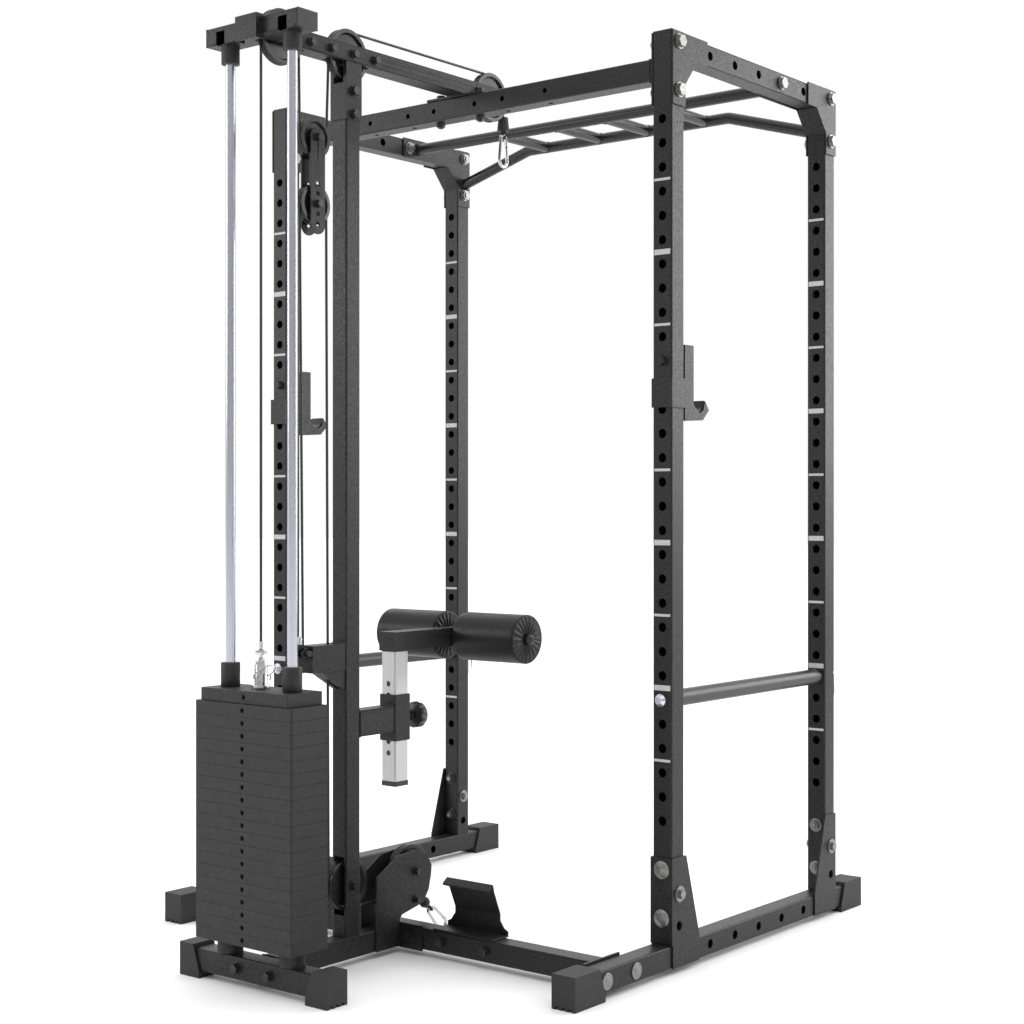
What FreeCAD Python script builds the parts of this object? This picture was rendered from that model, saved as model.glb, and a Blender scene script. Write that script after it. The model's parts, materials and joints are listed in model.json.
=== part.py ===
import FreeCAD, Part
import math
import os

import Sketcher
from FreeCAD import Placement, Rotation, Vector

# Power cage with a lat and low-row weight tower behind it, in millimetres.
# +Z is up, +Y is the open front of the cage, X is its width, and the origin is on the floor
# at the middle of the whole footprint.

DIMENSIONS = (
    # frame
    ("tube_size", 50, "outer size of the square frame tubes"),
    ("tube_wall", 2.5, "wall of the square tubes"),
    ("tube_corner", 4, "outer corner radius of the square tubes"),
    ("plate_gauge", 4, "thickness of the bent and flat plates"),
    ("post_across", 607, "upright centre line from the middle of the cage"),
    ("rear_line", -71, "centre line of the rear uprights"),
    ("bay_depth", 696.8, "rear uprights to front uprights, thirteen hole pitches"),
    ("post_top", 2085, "top of the uprights"),
    ("top_rail_level", 2058.5, "centre line of the top rails"),
    ("base_level", 40, "centre line of the base tubes"),
    ("rail_rear", -452, "rear end of the base rails"),
    ("rail_front", 778, "front end of the base rails"),
    # hole grid of the uprights
    ("hole_pitch", 53.6, "pitch of the adjustment holes"),
    ("hole_bore", 21, "diameter of the adjustment holes"),
    ("top_hole", 1892.5, "level of the highest adjustment hole"),
    ("hole_rows", 30, "adjustment holes in each upright"),
    # cross members
    ("top_beam_level", 2004, "centre line of the rear top crossbeam"),
    ("base_beam_line", -287, "centre line of the rear bottom crossmember"),
    ("bolt_shank", 12, "shank of the frame bolts"),
    # tower
    ("stack_line", -731, "centre line of the weight stack and its guide rods"),
    ("tower_line", -470, "centre line of the tower post"),
    ("tower_tube", 45, "size of the tower post"),
    ("lat_beam_base", 2035, "underside of the lat beam"),
    ("lat_beam_deep", 40, "depth of the lat beam"),
    ("lat_beam_front", 79, "front end of the lat beam"),
    ("head_half", 139, "half width of the stack head bar"),
    ("head_wide", 60, "front-to-back size of the stack head bar"),
    # pulleys and cables
    ("cable_bore", 6, "diameter of the coated cables"),
    ("big_wrap", 56, "cable centre-line radius on the large pulleys"),
    ("big_rim", 60, "outer radius of the large pulleys"),
    ("small_wrap", 41, "cable centre-line radius on the block pulleys"),
    ("small_rim", 45, "outer radius of the block pulleys"),
    ("pulley_half", 10, "half width of a pulley rim"),
    ("axle_bore", 10, "diameter of the pulley bolts"),
    ("top_pulley_level", 2053, "axis level of the three top pulleys"),
    ("low_pulley_level", 180, "axis level of the two bottom pulleys"),
    ("front_pulley_line", 39, "axis of the lat pulley over the cage"),
    ("row_pulley_line", -263, "axis of the low-row pulley"),
    ("block_line", -575, "axis line of the floating block"),
    ("block_upper", 1850, "axis level of the upper block pulley at rest"),
    ("block_lower", 1703, "axis level of the lower block pulley at rest"),
    # weight stack
    ("plate_count", 19, "plates in the stack"),
    ("plates_picked", 5, "plates that the selector pin picks up"),
    ("plate_pitch", 27.1, "pitch of the plates"),
    ("plate_thick", 26.8, "thickness of a plate"),
    ("plate_wide", 300, "width of a plate"),
    ("plate_deep", 110, "depth of a plate"),
    ("stack_base", 100, "underside of the lowest plate"),
    ("rod_across", 96, "guide rod from the middle"),
    ("rod_bore", 22, "diameter of the guide rods"),
    ("stem_bore", 28, "diameter of the selector stem"),
    # fittings
    ("cup_level", 1356.5, "level of the J-cup pins"),
    ("safety_level", 606.1, "level of the safety bars"),
    ("safety_pipe", 38, "diameter of the safety pipes"),
    ("pin_bore", 20, "diameter of the J-cup and safety pins"),
    ("pull_bar", 30, "diameter of the pull-up bars"),
    ("bent_half", 335, "half length of the straight middle of the front pull-up bar"),
    ("bent_end_level", 1988, "level of the ends of the front pull-up bar"),
    ("knee_line", -307, "centre line of the knee roller post"),
    ("knee_tube", 44.4, "size of the knee roller post"),
    ("roller_line", -82, "axis of the knee rollers"),
    ("roller_level", 721, "axis level of the knee rollers"),
    ("roller_radius", 58, "radius of the foam rollers"),
    ("roller_end", 220, "outer end of the foam rollers"),
)

doc = FreeCAD.newDocument("power_cage")
sheet = doc.addObject("Spreadsheet::Sheet", "Dims")
for row, (alias, number, meaning) in enumerate(DIMENSIONS, 1):
    sheet.set(f"A{row}", alias)
    sheet.set(f"B{row}", str(number))
    sheet.setAlias(f"B{row}", alias)
    sheet.set(f"C{row}", meaning)
doc.recompute()


class Size:
    """A length that carries both its value and the sheet formula that drives it."""

    def __init__(self, value, text):
        self.value = float(value)
        self.text = text

    def __add__(self, other):
        other = as_size(other)
        return Size(self.value + other.value, f"({self.text} + {other.text})")

    def __sub__(self, other):
        other = as_size(other)
        return Size(self.value - other.value, f"({self.text} - {other.text})")

    def __mul__(self, other):
        other = as_size(other)
        return Size(self.value * other.value, f"({self.text} * {other.text})")

    def __truediv__(self, other):
        other = as_size(other)
        return Size(self.value / other.value, f"({self.text} / {other.text})")

    def __neg__(self):
        return Size(-self.value, f"(0 - {self.text})")

    def __radd__(self, other):
        return as_size(other) + self

    def __rsub__(self, other):
        return as_size(other) - self

    def __rmul__(self, other):
        return as_size(other) * self

    def __float__(self):
        return self.value


def as_size(number):
    if isinstance(number, Size):
        return number
    text = f"{abs(number):.6f}".rstrip("0").rstrip(".")
    return Size(number, text if number >= 0 else f"(0 - {text})")


D = {alias: Size(sheet.get(alias), f"Dims.{alias}") for alias, _, _ in DIMENSIONS}

TUBE = D["tube_size"]
WALL = D["tube_wall"]
PLATE = D["plate_gauge"]
HALF = TUBE / 2
POST = D["post_across"]
REAR = D["rear_line"]
FRONT = REAR + D["bay_depth"]
MIDDLE = REAR + D["bay_depth"] / 2
BASE = D["base_level"]
BASE_TOP = BASE + HALF
PITCH = D["hole_pitch"]
BOLT = D["bolt_shank"]
BOLT_HOLE = BOLT + 0.6
STACK = D["stack_line"]
TOWER = D["tower_line"]
TOWER_HALF = D["tower_tube"] / 2
BEAM_BASE = D["lat_beam_base"]
BEAM_TOP = BEAM_BASE + D["lat_beam_deep"]
CROSS = D["base_beam_line"]
TOP_PULLEY = D["top_pulley_level"]
LOW_PULLEY = D["low_pulley_level"]
REAR_PULLEY = STACK + D["big_wrap"]
BLOCK = D["block_line"]
KNEE = D["knee_line"]
CABLE = D["cable_bore"] / 2

parts = []
SIDES = (("left", -1), ("right", 1))


# ---------------------------------------------------------------- helpers


def bind(obj, prop, size):
    obj.setExpression(prop, as_size(size).text)


def place(obj, at, turn=None):
    point = [as_size(value) for value in at]
    obj.Placement = Placement(Vector(*[size.value for size in point]), turn or Rotation())
    for axis, size in zip("xyz", point):
        bind(obj, f"Placement.Base.{axis}", size)
    return obj


def keep(obj, label):
    """Make obj a sub-part: its label is its file name."""
    obj.Label = label
    parts.append(obj)
    return obj


def box(low, high):
    """A box between two corners."""
    block = doc.addObject("Part::Box", "Block")
    for prop, bottom, top in zip(("Length", "Width", "Height"), low, high):
        bind(block, prop, as_size(top) - bottom)
    return place(block, low)


AXIS_TURN = {
    "x": Rotation(Vector(0, 0, 1), Vector(1, 0, 0)),
    "y": Rotation(Vector(0, 0, 1), Vector(0, 1, 0)),
    "z": Rotation(),
}


def rod(axis, start, length, radius):
    """A round bar that starts at a point and runs along one axis."""
    bar = doc.addObject("Part::Cylinder", "Bar")
    bind(bar, "Radius", radius)
    bind(bar, "Height", length)
    return place(bar, start, AXIS_TURN[axis])


def cone(axis, start, length, radius_start, radius_end):
    taper = doc.addObject("Part::Cone", "Taper")
    bind(taper, "Radius1", radius_start)
    bind(taper, "Radius2", radius_end)
    bind(taper, "Height", length)
    return place(taper, start, AXIS_TURN[axis])


def fuse(*shapes):
    joined = doc.addObject("Part::MultiFuse", "Weld")
    joined.Shapes = list(shapes)
    joined.Refine = True
    return joined


def group(*shapes):
    several = doc.addObject("Part::Compound", "Group")
    several.Links = list(shapes)
    return several


def cut(base, *tools):
    result = doc.addObject("Part::Cut", "Cut")
    result.Base = base
    result.Tool = tools[0] if len(tools) == 1 else group(*tools)
    result.Refine = True
    return result


def mirror(source):
    """The other side's copy, across the middle of the cage."""
    other = doc.addObject("Part::Mirroring", "Mirrored")
    other.Source = source
    other.Base = Vector(0, 0, 0)
    other.Normal = Vector(1, 0, 0)
    return other


def keep_pair(right, name):
    """Keep a right-hand piece and its mirrored left-hand twin."""
    keep(mirror(right), f"{name}_left")
    keep(right, f"{name}_right")


def new_body(name):
    return doc.addObject("PartDesign::Body", name)


def new_sketch(body, role):
    sketch = body.newObject("Sketcher::SketchObject", "Sketch")
    plane = next(item for item in body.Origin.OriginFeatures if item.Role == role)
    sketch.AttachmentSupport = [(plane, "")]
    sketch.MapMode = "FlatFace"
    return sketch


def pin_point(sketch, geometry, corner, point):
    for kind, size in zip(("DistanceX", "DistanceY"), point):
        size = as_size(size)
        index = sketch.addConstraint(
            Sketcher.Constraint(kind, -1, 1, geometry, corner, size.value)
        )
        sketch.setExpression(f"Constraints[{index}]", size.text)


def outline(sketch, points):
    """A closed polygon, each corner driven by its own two distances."""
    points = [tuple(as_size(value) for value in point) for point in points]
    first = sketch.GeometryCount
    count = len(points)
    for index, point in enumerate(points):
        after = points[(index + 1) % count]
        start = Vector(point[0].value, point[1].value, 0)
        end = Vector(after[0].value, after[1].value, 0)
        sketch.addGeometry(Part.LineSegment(start, end), False)
    for index in range(count):
        here = first + index
        following = first + (index + 1) % count
        sketch.addConstraint(Sketcher.Constraint("Coincident", here, 2, following, 1))
    for index, point in enumerate(points):
        pin_point(sketch, first + index, 1, point)


def circle(sketch, centre, radius):
    centre = [as_size(value) for value in centre]
    radius = as_size(radius)
    middle = Vector(centre[0].value, centre[1].value, 0)
    index = sketch.addGeometry(Part.Circle(middle, Vector(0, 0, 1), radius.value), False)
    pin_point(sketch, index, 3, centre)
    size = sketch.addConstraint(Sketcher.Constraint("Radius", index, radius.value))
    sketch.setExpression(f"Constraints[{size}]", radius.text)


def rectangle(sketch, half_width, half_height):
    wide = as_size(half_width)
    tall = as_size(half_height)
    outline(sketch, ((-wide, -tall), (wide, -tall), (wide, tall), (-wide, tall)))


def pad(body, sketch, length, middle=False, backwards=False):
    feature = body.newObject("PartDesign::Pad", "Pad")
    feature.Profile = sketch
    feature.SideType = "Symmetric" if middle else "One side"
    feature.Reversed = backwards
    bind(feature, "Length", length)
    return feature


def pierce(body, sketch):
    """Cut the sketch right through, both ways, and make sure that it did cut."""
    doc.recompute()
    before = body.Shape.Volume
    feature = body.newObject("PartDesign::Pocket", "Pocket")
    feature.Profile = sketch
    feature.Type = "ThroughAll"
    feature.SideType = "Symmetric"
    doc.recompute()
    if body.Shape.Volume > before - 1:
        raise RuntimeError(f"{body.Label}: a pocket cut nothing")
    return feature


def repeat(body, feature, sketch, axis, pitch, count):
    """Repeat a feature in a line along the sketch's own axis."""
    pattern = body.newObject("PartDesign::LinearPattern", "Row")
    pattern.Originals = [feature]
    pattern.Direction = (sketch, [axis])
    pattern.Mode = "Spacing"
    bind(pattern, "Offset", pitch)
    bind(pattern, "Occurrences", count)
    body.Tip = pattern
    return pattern


def turned(name, axis, profile):
    """A solid of revolution about one axis: profile points are (along, radius)."""
    body = new_body(name)
    sketch = new_sketch(body, "XZ_Plane")
    outline(sketch, [(radius, along) for along, radius in profile])
    feature = body.newObject("PartDesign::Revolution", "Turned")
    feature.Profile = sketch
    feature.ReferenceAxis = (sketch, ["V_Axis"])
    feature.Angle = 360
    doc.recompute()
    return body, AXIS_TURN[axis]


def square_tube(name, axis, start, length, width=TUBE, height=TUBE, holes=()):
    """A hollow square tube along one axis, its section centred on the start point.

    Each hole is (face, along, across, diameter): face is the axis that it runs along.
    """
    body = new_body(name)
    sketch = new_sketch(body, {"x": "YZ_Plane", "y": "XZ_Plane", "z": "XY_Plane"}[axis])
    rectangle(sketch, width / 2, height / 2)
    rectangle(sketch, width / 2 - WALL, height / 2 - WALL)
    feature = pad(body, sketch, length, backwards=axis == "y")
    doc.recompute()
    along = {"x": Vector(1, 0, 0), "y": Vector(0, 1, 0), "z": Vector(0, 0, 1)}[axis]
    outside = max(width.value, height.value) / 2
    corners = []
    for index, edge in enumerate(feature.Shape.Edges, 1):
        direction = edge.tangentAt(edge.FirstParameter)
        middle = edge.CenterOfMass - along * edge.CenterOfMass.dot(along)
        is_outer = middle.Length > math.hypot(width.value, height.value) / 2 - 0.1
        if abs(direction.dot(along)) > 0.999 and is_outer and outside > 0:
            corners.append(f"Edge{index}")
    rounded = body.newObject("PartDesign::Fillet", "Corners")
    rounded.Base = (feature, corners)
    bind(rounded, "Radius", D["tube_corner"])
    for face in sorted({hole[0] for hole in holes}):
        drill(body, axis, face, [hole[1:] for hole in holes if hole[0] == face])
    place(body, start)
    return body


def drill(body, axis, face, holes):
    """Round holes through a tube: each is (along the tube, across it, diameter)."""
    sketch = new_sketch(body, {"x": "YZ_Plane", "y": "XZ_Plane", "z": "XY_Plane"}[face])
    order = {"x": "yz", "y": "xz", "z": "xy"}[face]
    for along, across, diameter in holes:
        centre = (along, across) if order[0] == axis else (across, along)
        circle(sketch, centre, as_size(diameter) / 2)
    pierce(body, sketch)


def flat_plate(name, plane, points, thickness, at, holes=()):
    """A flat plate from its outline, centred on its own plane, with round holes."""
    body = new_body(name)
    sketch = new_sketch(body, plane)
    outline(sketch, points)
    for centre, diameter in holes:
        circle(sketch, centre, as_size(diameter) / 2)
    pad(body, sketch, thickness, middle=True)
    place(body, at)
    return body


# ---------------------------------------------------------------- fasteners

# Bolts are laid out as plain solids, because one group holds many in different places.
WASHER_THICK = 2.5
HEX_HEIGHT = 8
DIRECTIONS = {"x": Vector(1, 0, 0), "y": Vector(0, 1, 0), "z": Vector(0, 0, 1)}


def hexagon(centre, direction, across_corners, height):
    """A hexagonal head or nut, from a point along a direction."""
    turn = Rotation(Vector(0, 0, 1), direction)
    corners = []
    for step in range(7):
        angle = math.radians(60 * step + 30)
        corner = Vector(math.cos(angle), math.sin(angle), 0) * (across_corners / 2)
        corners.append(centre + turn.multVec(corner))
    face = Part.Face(Part.makePolygon(corners))
    return face.extrude(direction * height)


def bolt(axis, sign, head_at, grip, shank, washer, head="hex"):
    """One bolt with its washers and nut. head_at is the point under the head's washer,
    sign the way the head faces, and grip the thickness that it clamps."""
    point = Vector(*[float(value) for value in head_at])
    out = DIRECTIONS[axis] * sign
    radius = float(shank) / 2
    grip = float(grip)
    far = point - out * grip
    solids = [Part.makeCylinder(radius, grip + 2, point + out, -out)]
    corners = float(shank) * 1.8
    if head == "dome":
        rise = washer * 0.32
        ball = (washer * washer + rise * rise) / (2 * rise)
        dome = Part.makeSphere(ball, point + out * (rise - ball))
        slab = Part.makeCylinder(washer, rise + 1, point, out)
        solids.append(dome.common(slab))
    else:
        solids.append(Part.makeCylinder(washer, WASHER_THICK, point, out))
        solids.append(hexagon(point + out * WASHER_THICK, out, corners, HEX_HEIGHT))
    solids.append(Part.makeCylinder(washer * 0.85, WASHER_THICK, far, -out))
    solids.append(hexagon(far - out * WASHER_THICK, -out, corners, HEX_HEIGHT))
    solids.append(Part.makeCylinder(radius, WASHER_THICK + HEX_HEIGHT + 4, far + out, -out))
    return solids[0].fuse(solids[1:]).removeSplitter()


def shape_node(label, shapes):
    """A sub-part whose solids are laid out one by one."""
    node = doc.addObject("Part::Feature", label)
    node.Shape = Part.makeCompound(shapes) if len(shapes) > 1 else shapes[0]
    return keep(node, label)


# ---------------------------------------------------------------- cage frame

FLANGE = 5
GUSSET_BOLT = 16
GUSSET_BOLT_HOLE = 16.6
GUSSET_BOLT_LEVELS = (D["top_rail_level"] + 5.5, D["top_rail_level"] - 101.7)
BASE_BOLT_LEVELS = (230.9, 123.7)
BASE_CROSS_BOLT = 177.3
BASE_SIDE_HOLE = 106
RAIL_HOLE_STEPS = (-2, -1, 0, 1, 2)
PULL_BAR_LINE = MIDDLE + 2 * PITCH


def base_rail():
    """Floor tube of one side: attachment holes, and the bolts of the rear crossmember."""
    length = D["rail_front"] - D["rail_rear"]
    start = D["rail_rear"]
    holes = [
        ("x", MIDDLE + 2 * PITCH * step - start, 0, D["hole_bore"]) for step in RAIL_HOLE_STEPS
    ]
    holes += [("x", CROSS + PITCH * side - start, 0, BOLT_HOLE) for side in (-1, 1)]
    return square_tube("base_rail", "y", (POST, start, BASE), length, holes=holes)


def upright(name, line):
    """One upright: adjustment holes front to back, and the holes of its frame bolts."""
    body = new_body(name)
    sketch = new_sketch(body, "XY_Plane")
    rectangle(sketch, HALF, HALF)
    rectangle(sketch, HALF - WALL, HALF - WALL)
    tube = pad(body, sketch, D["post_top"] - BASE_TOP)
    doc.recompute()
    reach = math.hypot(HALF.value, HALF.value) - 0.1
    corners = []
    for index, edge in enumerate(tube.Shape.Edges, 1):
        centre = edge.CenterOfMass
        if math.hypot(centre.x, centre.y) > reach:
            corners.append(f"Edge{index}")
    rounded = body.newObject("PartDesign::Fillet", "Corners")
    rounded.Base = (tube, corners)
    bind(rounded, "Radius", D["tube_corner"])

    bolts_across = new_sketch(body, "YZ_Plane")
    for level in GUSSET_BOLT_LEVELS:
        circle(bolts_across, (0, level - BASE_TOP), GUSSET_BOLT_HOLE / 2)
    circle(bolts_across, (0, BASE_CROSS_BOLT - BASE_TOP), BOLT_HOLE / 2)
    pierce(body, bolts_across)
    side_hole = new_sketch(body, "YZ_Plane")
    circle(side_hole, (0, BASE_SIDE_HOLE - BASE_TOP), D["hole_bore"] / 2)
    pierce(body, side_hole)

    bolts_along = new_sketch(body, "XZ_Plane")
    for level in BASE_BOLT_LEVELS:
        circle(bolts_along, (0, level - BASE_TOP), BOLT_HOLE / 2)
    pierce(body, bolts_along)

    hole = new_sketch(body, "XZ_Plane")
    lowest = D["top_hole"] - PITCH * (D["hole_rows"] - 1)
    circle(hole, (0, lowest - BASE_TOP), D["hole_bore"] / 2)
    first = pierce(body, hole)
    repeat(body, first, hole, "V_Axis", PITCH, D["hole_rows"])
    place(body, (POST, line, BASE_TOP))
    return body


def top_rail():
    """Top tube of one side, between the uprights."""
    start = REAR + HALF + 1
    length = D["bay_depth"] - TUBE - 2
    holes = [
        ("x", MIDDLE + 2 * PITCH * step - start, 0, D["hole_bore"])
        for step in RAIL_HOLE_STEPS
        if step != 1
    ]
    holes.append(("x", PULL_BAR_LINE - start, 0, GUSSET_BOLT_HOLE))
    return square_tube("top_rail", "y", (POST, start, D["top_rail_level"]), length, holes=holes)


def corner_gusset(line, inward):
    """Two plates and a slanted web that tie a top rail to an upright.

    inward is +1 for a rear corner, whose rail runs forwards, and -1 for a front corner."""
    face = line - HALF * inward
    top = D["post_top"] + 1
    rail_base = D["top_rail_level"] - HALF
    # At the front the inner plate runs on along the rail, to carry the pull-up bars.
    inner_reach = 141 if inward > 0 else face - PULL_BAR_LINE + HALF
    holes = [((line, level), GUSSET_BOLT_HOLE) for level in GUSSET_BOLT_LEVELS]
    inner_holes = list(holes)
    if inward < 0:
        inner_holes.append(((PULL_BAR_LINE, D["top_rail_level"]), GUSSET_BOLT_HOLE))
    plates = []
    for across, reach, drilled in (
        (POST + HALF + PLATE / 2, 141, holes),
        (POST - HALF - PLATE / 2, inner_reach, inner_holes),
    ):
        profile = (
            (0, top),
            (reach, top),
            (reach, rail_base - 3),
            (98, rail_base - 3),
            (50, rail_base - 60),
            (50, top - 163),
            (0, top - 163),
        )
        points = [(face + inward * along, level) for along, level in profile]
        plates.append(
            flat_plate("gusset_plate", "YZ_Plane", points, PLATE, (across, 0, 0), drilled)
        )
    slant = (
        (98, rail_base - 3),
        (98, rail_base - 0.5),
        (92, rail_base - 0.5),
        (50.5, rail_base - 49),
        (50.5, rail_base - 60),
    )
    web_points = [(face + inward * along, level) for along, level in slant]
    web = flat_plate("gusset_web", "YZ_Plane", web_points, TUBE, (POST, 0, 0))
    return fuse(plates[0], plates[1], web)


def base_plates(line, inward):
    """The bracket that holds an upright on its base rail: a folded channel behind a rear
    upright, and one plate outside a front upright."""
    face = line - HALF * inward
    low = BASE - HALF
    top = 258
    profile = ((0, low), (108, low), (108, 71), (54, top), (0, top))
    points = [(face + inward * along, level) for along, level in profile]
    holes = [((line, BASE_CROSS_BOLT), BOLT_HOLE), ((line, BASE_SIDE_HOLE), D["hole_bore"])]
    lines = [POST + HALF + PLATE / 2]
    if inward > 0:
        lines.append(POST - HALF - PLATE / 2)
    plates = [
        flat_plate("base_plate", "YZ_Plane", points, PLATE, (across, 0, 0), holes) for across in lines
    ]
    if inward < 0:
        return plates
    outer = HALF + PLATE
    back = cut(
        box((POST - outer, face - PLATE, BASE_TOP + 0.5), (POST + outer, face, top)),
        *[rod("y", (POST, face - PLATE - 1, level), PLATE + 2, BOLT_HOLE / 2) for level in BASE_BOLT_LEVELS],
    )
    return [fuse(*plates, back)]


def make_sides():
    rail = base_rail()
    keep(group(mirror(rail), rail), "base_rails")
    for name, line in (("rear", REAR), ("front", FRONT)):
        keep_pair(upright(f"upright_{name}", line), f"upright_{name}")
    rail = top_rail()
    keep(group(mirror(rail), rail), "top_rails")
    gussets = []
    plates = []
    for line, inward in ((REAR, 1), (FRONT, -1)):
        gussets.append(corner_gusset(line, inward))
        plates += base_plates(line, inward)
    keep(group(*gussets, *[mirror(item) for item in gussets]), "corner_gussets")
    keep(group(*plates, *[mirror(item) for item in plates]), "base_gusset_plates")


TOP_BEAM_FACE_HOLES = (65, 150.5, 278.5)
TOP_BEAM_BOLTS = 63
BEAM_HOLE = 12.6


def rear_top_crossbeam():
    """Tube between the rear uprights that carries the lat beam, with its end flanges."""
    level = D["top_beam_level"]
    end = POST - HALF - PLATE - FLANGE - 0.5
    holes = [
        ("y", side * across + end, 0, BEAM_HOLE) for across in TOP_BEAM_FACE_HOLES for side in (-1, 1)
    ]
    holes += [
        ("z", side * across + end, 0, BEAM_HOLE)
        for across in (TOP_BEAM_BOLTS, *TOP_BEAM_FACE_HOLES[1:])
        for side in (-1, 1)
    ]
    tube = square_tube("top_crossbeam", "x", (-end, REAR, level), 2 * end, holes=holes)
    flange = box((end, REAR - HALF, level - HALF), (end + FLANGE, REAR + HALF, level + HALF))
    keep(fuse(tube, flange, mirror(flange)), "rear_top_crossbeam")


FOOT_BOLTS = (146, 277)
TOWER_FLANGE_BOLTS = 56


def rear_base_crossmember():
    """Low tube between the base rails, with flanges that bolt to their inner faces."""
    end = POST - HALF - FLANGE - 0.5
    across = (TOWER_FLANGE_BOLTS, *FOOT_BOLTS)
    holes = [("y", side * place_at + end, 0, BOLT_HOLE) for place_at in across for side in (-1, 1)]
    tube = square_tube("base_crossmember", "x", (-end, CROSS, BASE), 2 * end, holes=holes)
    drilled = [
        rod("x", (end - 1, CROSS + side * PITCH, BASE), FLANGE + 2, BOLT_HOLE / 2) for side in (-1, 1)
    ]
    flange = cut(box((end, CROSS - 64, BASE - HALF), (end + FLANGE, CROSS + 64, 70)), *drilled)
    keep(fuse(tube, flange, mirror(flange)), "rear_base_crossmember")


def pull_up_bar():
    """Straight bar and bent bar between the inner front gusset plates, and four grips."""
    level = D["top_rail_level"]
    radius = D["pull_bar"] / 2
    end = POST - HALF - PLATE - 0.3
    straight_line = PULL_BAR_LINE + 34
    straight = rod("x", (-end, straight_line, level), 2 * end, radius)

    # The bent bar is a pipe along a path of five runs joined by round bends.
    path = new_body("bent_bar")
    route = new_sketch(path, "XZ_Plane")
    bend = D["bent_half"]
    drop = level - D["bent_end_level"]
    run = end - bend
    slope = math.hypot(run.value, drop.value)
    # The pipe runs past the plates and is trimmed flush with them.
    spare = 10
    tip = (end + spare, D["bent_end_level"] - drop / run * spare)
    reach = 9
    blend = (run / slope * reach, drop / slope * reach)
    knots = (
        (-tip[0], tip[1]),
        (-bend - blend[0], level - blend[1]),
        (-bend + reach, level),
        (bend - reach, level),
        (bend + blend[0], level - blend[1]),
        tip,
    )
    lines = []
    for first, second in ((0, 1), (2, 3), (4, 5)):
        ends = [Vector(float(knots[item][0]), float(knots[item][1]), 0) for item in (first, second)]
        index = route.addGeometry(Part.LineSegment(*ends), False)
        pin_point(route, index, 1, knots[first])
        pin_point(route, index, 2, knots[second])
        lines.append(index)
    for side, before, after in ((-1, lines[0], lines[1]), (1, lines[1], lines[2])):
        angle = math.atan2(drop.value, run.value)
        radius_of_bend = reach / math.tan(angle / 2)
        centre = Vector(side * (bend.value - reach), level.value - radius_of_bend, 0)
        low, high = math.pi / 2 - angle, math.pi / 2
        if side < 0:
            low, high = math.pi / 2, math.pi / 2 + angle
        arc = Part.ArcOfCircle(Part.Circle(centre, Vector(0, 0, 1), radius_of_bend), low, high)
        index = route.addGeometry(arc, False)
        # The arc runs counter-clockwise, so it starts at the right-hand line.
        joints = ((index, 1, after, 1), (index, 2, before, 2))
        for joint in joints:
            smooth = joint[2] == lines[1]
            route.addConstraint(Sketcher.Constraint("Tangent" if smooth else "Coincident", *joint))
    ring = new_sketch(path, "YZ_Plane")
    circle(ring, (0, level), radius)
    pipe = path.newObject("PartDesign::AdditivePipe", "Bar")
    pipe.Profile = ring
    pipe.Spine = route
    doc.recompute()
    place(path, (0, FRONT, 0))

    grips = [
        rod("y", (across, straight_line, level), FRONT - straight_line, radius - 0.6)
        for across in (-265, -80, 80, 265)
    ]
    waste = box((end, FRONT - 30, tip[1] - 30), (end + 40, FRONT + 30, tip[1] + 50))
    keep(fuse(straight, cut(path, waste, mirror(waste)), *grips), "pull_up_bar")


def foot_plates():
    """Bent steel plates that the feet push against in a seated row."""
    gauge = 4
    rise = BASE_TOP + 0.3
    back = CROSS - HALF
    front = CROSS + HALF + 5
    side_view = (
        (back, rise),
        (front, rise),
        (front, rise + 50),
        (front - 30, rise + 120),
        (front - 48, rise + 108),
        (front - 46, rise + 104),
        (front - 32, rise + 113),
        (front - gauge, rise + 49),
        (front - gauge, rise + gauge),
        (back, rise + gauge),
    )
    centre = (FOOT_BOLTS[0] + FOOT_BOLTS[1]) / 2
    body = new_body("foot_plate")
    sketch = new_sketch(body, "YZ_Plane")
    outline(sketch, side_view)
    pad(body, sketch, 178, middle=True)
    front_view = new_sketch(body, "XZ_Plane")
    for side in (-1, 1):
        outline(
            front_view,
            (
                (side * 70, rise + 130),
                (side * 66, rise + 100),
                (side * 66, rise + 35),
                (side * 78, rise + 18),
                (side * 90, rise + 12),
                (side * 90, rise + 130),
            ),
        )
    pierce(body, front_view)
    place(body, (centre, 0, 0))
    keep(group(body, mirror(body)), "foot_plates")


# ---------------------------------------------------------------- weight tower

SLOT = 13
HEAD_LEVEL = BEAM_BASE + D["lat_beam_deep"] / 2
BRACKET_BASE = 667
BRACKET_TOP = 727
BRACKET_END = STACK + 137
ANCHOR_LEVEL = 711
ANCHOR_LINE = BRACKET_END - 12
SLEEVE_BASE = 1905
SLEEVE_BOLTS = (1918, 1970)
RETAINER_STEP = 70


FOOT_BOLT = 50


def tower_base():
    """T-shaped floor weldment: cross foot, long tube and the flange on the crossmember."""
    foot_half = 220
    foot_holes = [("y", foot_half + side * FOOT_BOLT, 0, BOLT_HOLE) for side in (-1, 1)]
    foot = square_tube(
        "tower_foot", "x", (-foot_half, STACK, BASE), as_size(2 * foot_half), holes=foot_holes
    )
    long_start = STACK + HALF
    long_end = CROSS - HALF - FLANGE
    length = long_end - long_start
    spine = square_tube("tower_spine", "y", (0, long_start, BASE), length, width=D["tower_tube"])
    flange = box((-92, long_end, 12), (92, long_end + FLANGE - 0.3, 70))
    drilled = [
        rod("y", (side * TOWER_FLANGE_BOLTS, long_end - 1, BASE), FLANGE + 2, BOLT_HOLE / 2)
        for side in (-1, 1)
    ]
    keep(fuse(foot, spine, cut(flange, *drilled)), "tower_base")


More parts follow.
